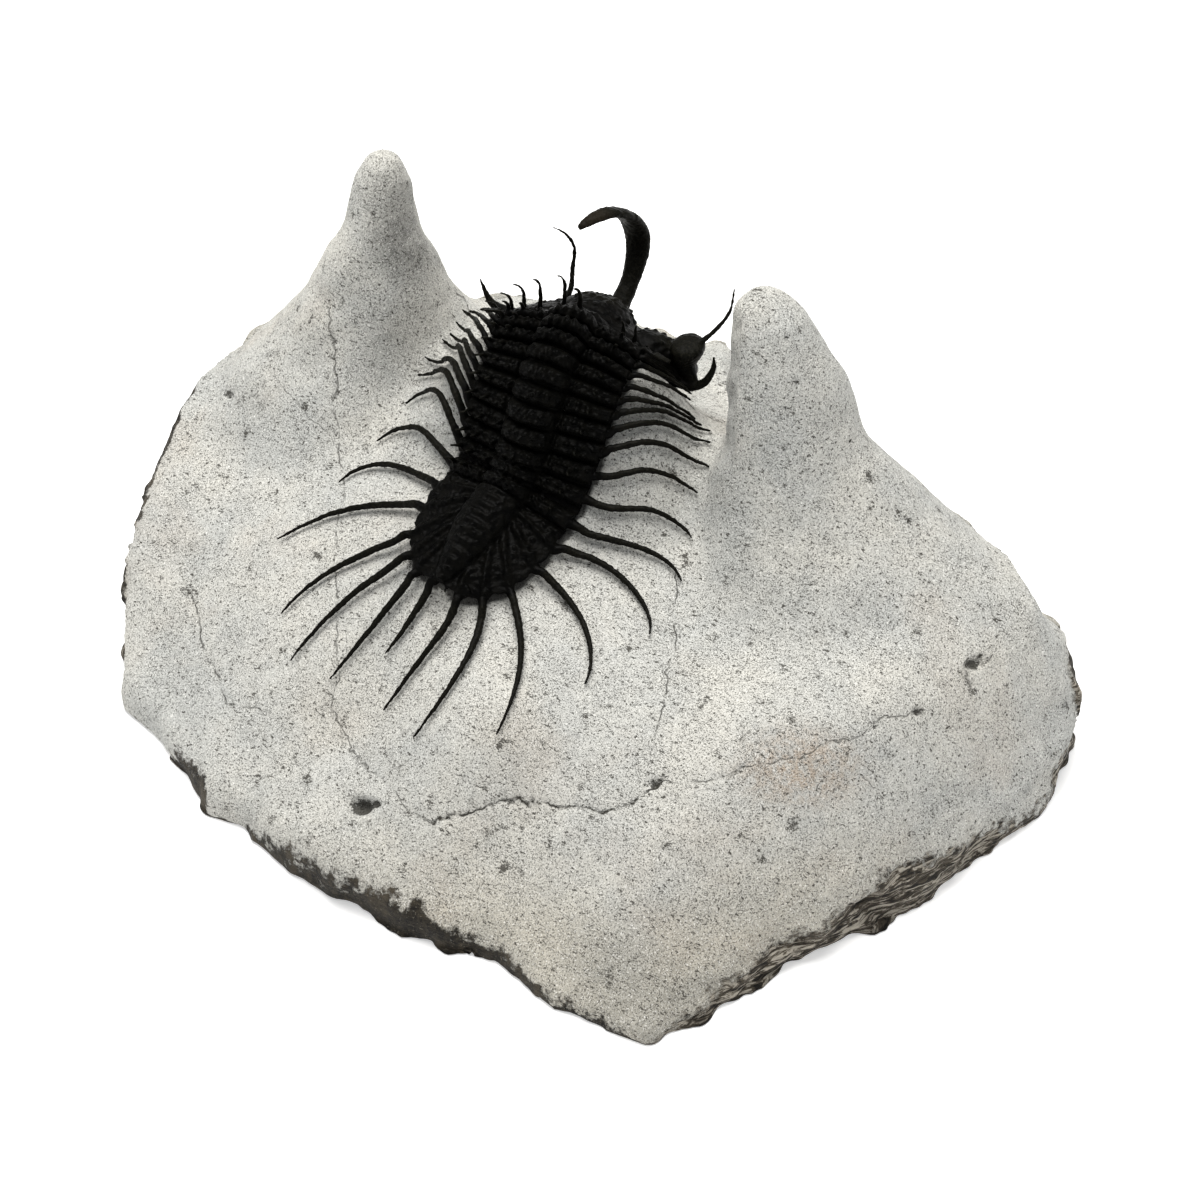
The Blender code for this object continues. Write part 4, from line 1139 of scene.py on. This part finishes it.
HEAD_SPINES = (
    ((11.4, 70.6, 41.8, 1.5), (12.5, 69.7, 40.5, 1.15), (13.7, 69.0, 39.6, 0.6)),
    ((12.9, 70.4, 43.9, 0.42), (14.7, 72.6, 45.5, 0.32), (15.8, 74.8, 47.3, 0.24), (15.7, 76.4, 49.9, 0.13)),
    ((-7.6, 75.0, 39.6, 0.42), (-7.0, 76.9, 41.2, 0.38), (-7.4, 78.4, 43.4, 0.32),
     (-7.6, 79.4, 46.0, 0.26), (-8.6, 79.0, 48.2, 0.2), (-10.0, 78.2, 49.4, 0.13)),
    ((11.2, 68.4, 39.3, 0.7), (13.6, 68.6, 39.2, 0.6), (15.2, 69.1, 40.2, 0.55), (16.0, 69.7, 42.2, 0.38),
     (15.9, 69.9, 43.9, 0.15)),
    ((-12.2, 69.6, 41.0, 0.8), (-14.6, 70.4, 41.0, 0.6), (-15.6, 70.6, 41.8, 0.4), (-16.8, 71.0, 44.0, 0.14)),
)
EYE_SIDES = 48
LENS_HEIGHT = 0.09
BORDER_ALONG = 1.1
BORDER_HOOKS = (
    (-0.86, 2.4, -1.8), (-0.68, 3.2, -1.6), (-0.56, 4.1, -1.5), (-0.4, 4.8, -1.0), (-0.16, 4.6, -1.0),
    (0.46, 2.6, -0.3), (0.58, 3.2, 0.2), (0.7, 1.8, 0.4), (0, 3.0, -0.8, 0.45),
)


def on_head(s, across):
    x = across * half_width(s)
    along = s - HEAD_START
    rim = 0.28 * ridge(abs(across), 0.96, 0.05)
    border = 0.35 * ridge(along, BORDER_ALONG, 0.55) - 0.25 * ridge(along, 2.4, 0.5)
    knobbed = pimple(Vector((x, s, 5)), 0.45) * 0.28
    height = dome(s, across) + (rim + border) * (1 if abs(across) < 1 else 0.4) + knobbed
    return body_point(s, across, height)


head_plate = curved_plate("head_plate", HEAD_START + PLATE_GAP / 2, HEAD_END, on_head, SHELL)
head_parts = []
for name, (centre, radii) in LOBES.items():
    bpy.ops.mesh.primitive_ico_sphere_add(subdivisions=6, radius=1)
    lobe = bpy.context.object
    lobe.name = name
    for vert in lobe.data.vertices:
        spot = Vector([c + r * share for c, r, share in zip(centre, radii, vert.co)])
        swell = 1 + 0.10 * pimple(spot / 1.05, 0.5)
        x, along, up = (c + r * swell * share for c, r, share in zip(centre, radii, vert.co))
        s = HEAD_START + along
        across = x / half_width(s)
        vert.co = body_point(s, across, max(up, underside(s, across) + 0.5)) * MM
    lobe.data.update()
    head_parts.append(lobe)

for number, (foot, crown, size) in enumerate(EYES, 1):
    foot, crown = Vector(foot) - SPECIMEN_MIDDLE, Vector(crown) - SPECIMEN_MIDDLE
    rings = []
    outline_rows = softened([(Vector((share, 0, 0)), radius) for share, radius in EYE_RADII], 6)
    for row, (share, radius) in enumerate(outline_rows):
        level = foot.lerp(crown, min(share.x, 1.0))
        ring = []
        for k in range(EYE_SIDES):
            turn = math.tau * k / EYE_SIDES
            lens = 0.0
            if 0.45 < share.x < 0.9:
                lens = LENS_HEIGHT * max(0, math.sin(9 * turn + math.pi * (row // 2))) ** 2
            reach = size * (radius + lens)
            ring.append(level + reach * Vector((math.cos(turn), 1.15 * math.sin(turn), 0)))
        rings.append(ring)
    head_parts.append(form_through(f"eye_{number}", rings))

horn_line = softened([(Vector(place) - SPECIMEN_MIDDLE, width) for place, width, _ in HORN], 8)
horn_depths = softened([(Vector(place) - SPECIMEN_MIDDLE, depth) for place, _, depth in HORN], 8)
rings = []
for k, (place, width) in enumerate(horn_line):
    along = (horn_line[min(k + 1, len(horn_line) - 1)][0] - horn_line[max(k - 1, 0)][0]).normalized()
    across = (Vector((1, 0, 0)) - along * along.x).normalized()
    normal = along.cross(across)
    rings.append([place + across * (0.5 * width * math.cos(math.tau * n / HORN_SIDES))
                  + normal * (0.5 * horn_depths[k][1] * math.sin(math.tau * n / HORN_SIDES))
                  for n in range(HORN_SIDES)])
head_parts.append(form_through("horn", rings))

head_paths = [[(Vector(place) - SPECIMEN_MIDDLE, radius) for *place, radius in row] for row in HEAD_SPINES]
head_paths += [upright_hook(HEAD_START + BORDER_ALONG, *row) for row in BORDER_HOOKS]
head_parts.append(spines_from("head_spines", head_paths))
head = fused("head_shield_with_horn", HEAD_VOXEL, head_plate, *head_parts)
# The horn's top, towards its tip, carries a painted highlight in brown, where its upper face catches the
# light.
from_tip = places_of(head.data) - np.array(Vector(HORN[6][0]) - SPECIMEN_MIDDLE)
write_attributes(head.data, worn=0.12 * fall(np.linalg.norm(from_tip, axis=1), 0.5, 3.5))
finish_piece(head, shell_black, "black_shell", "head_shield")
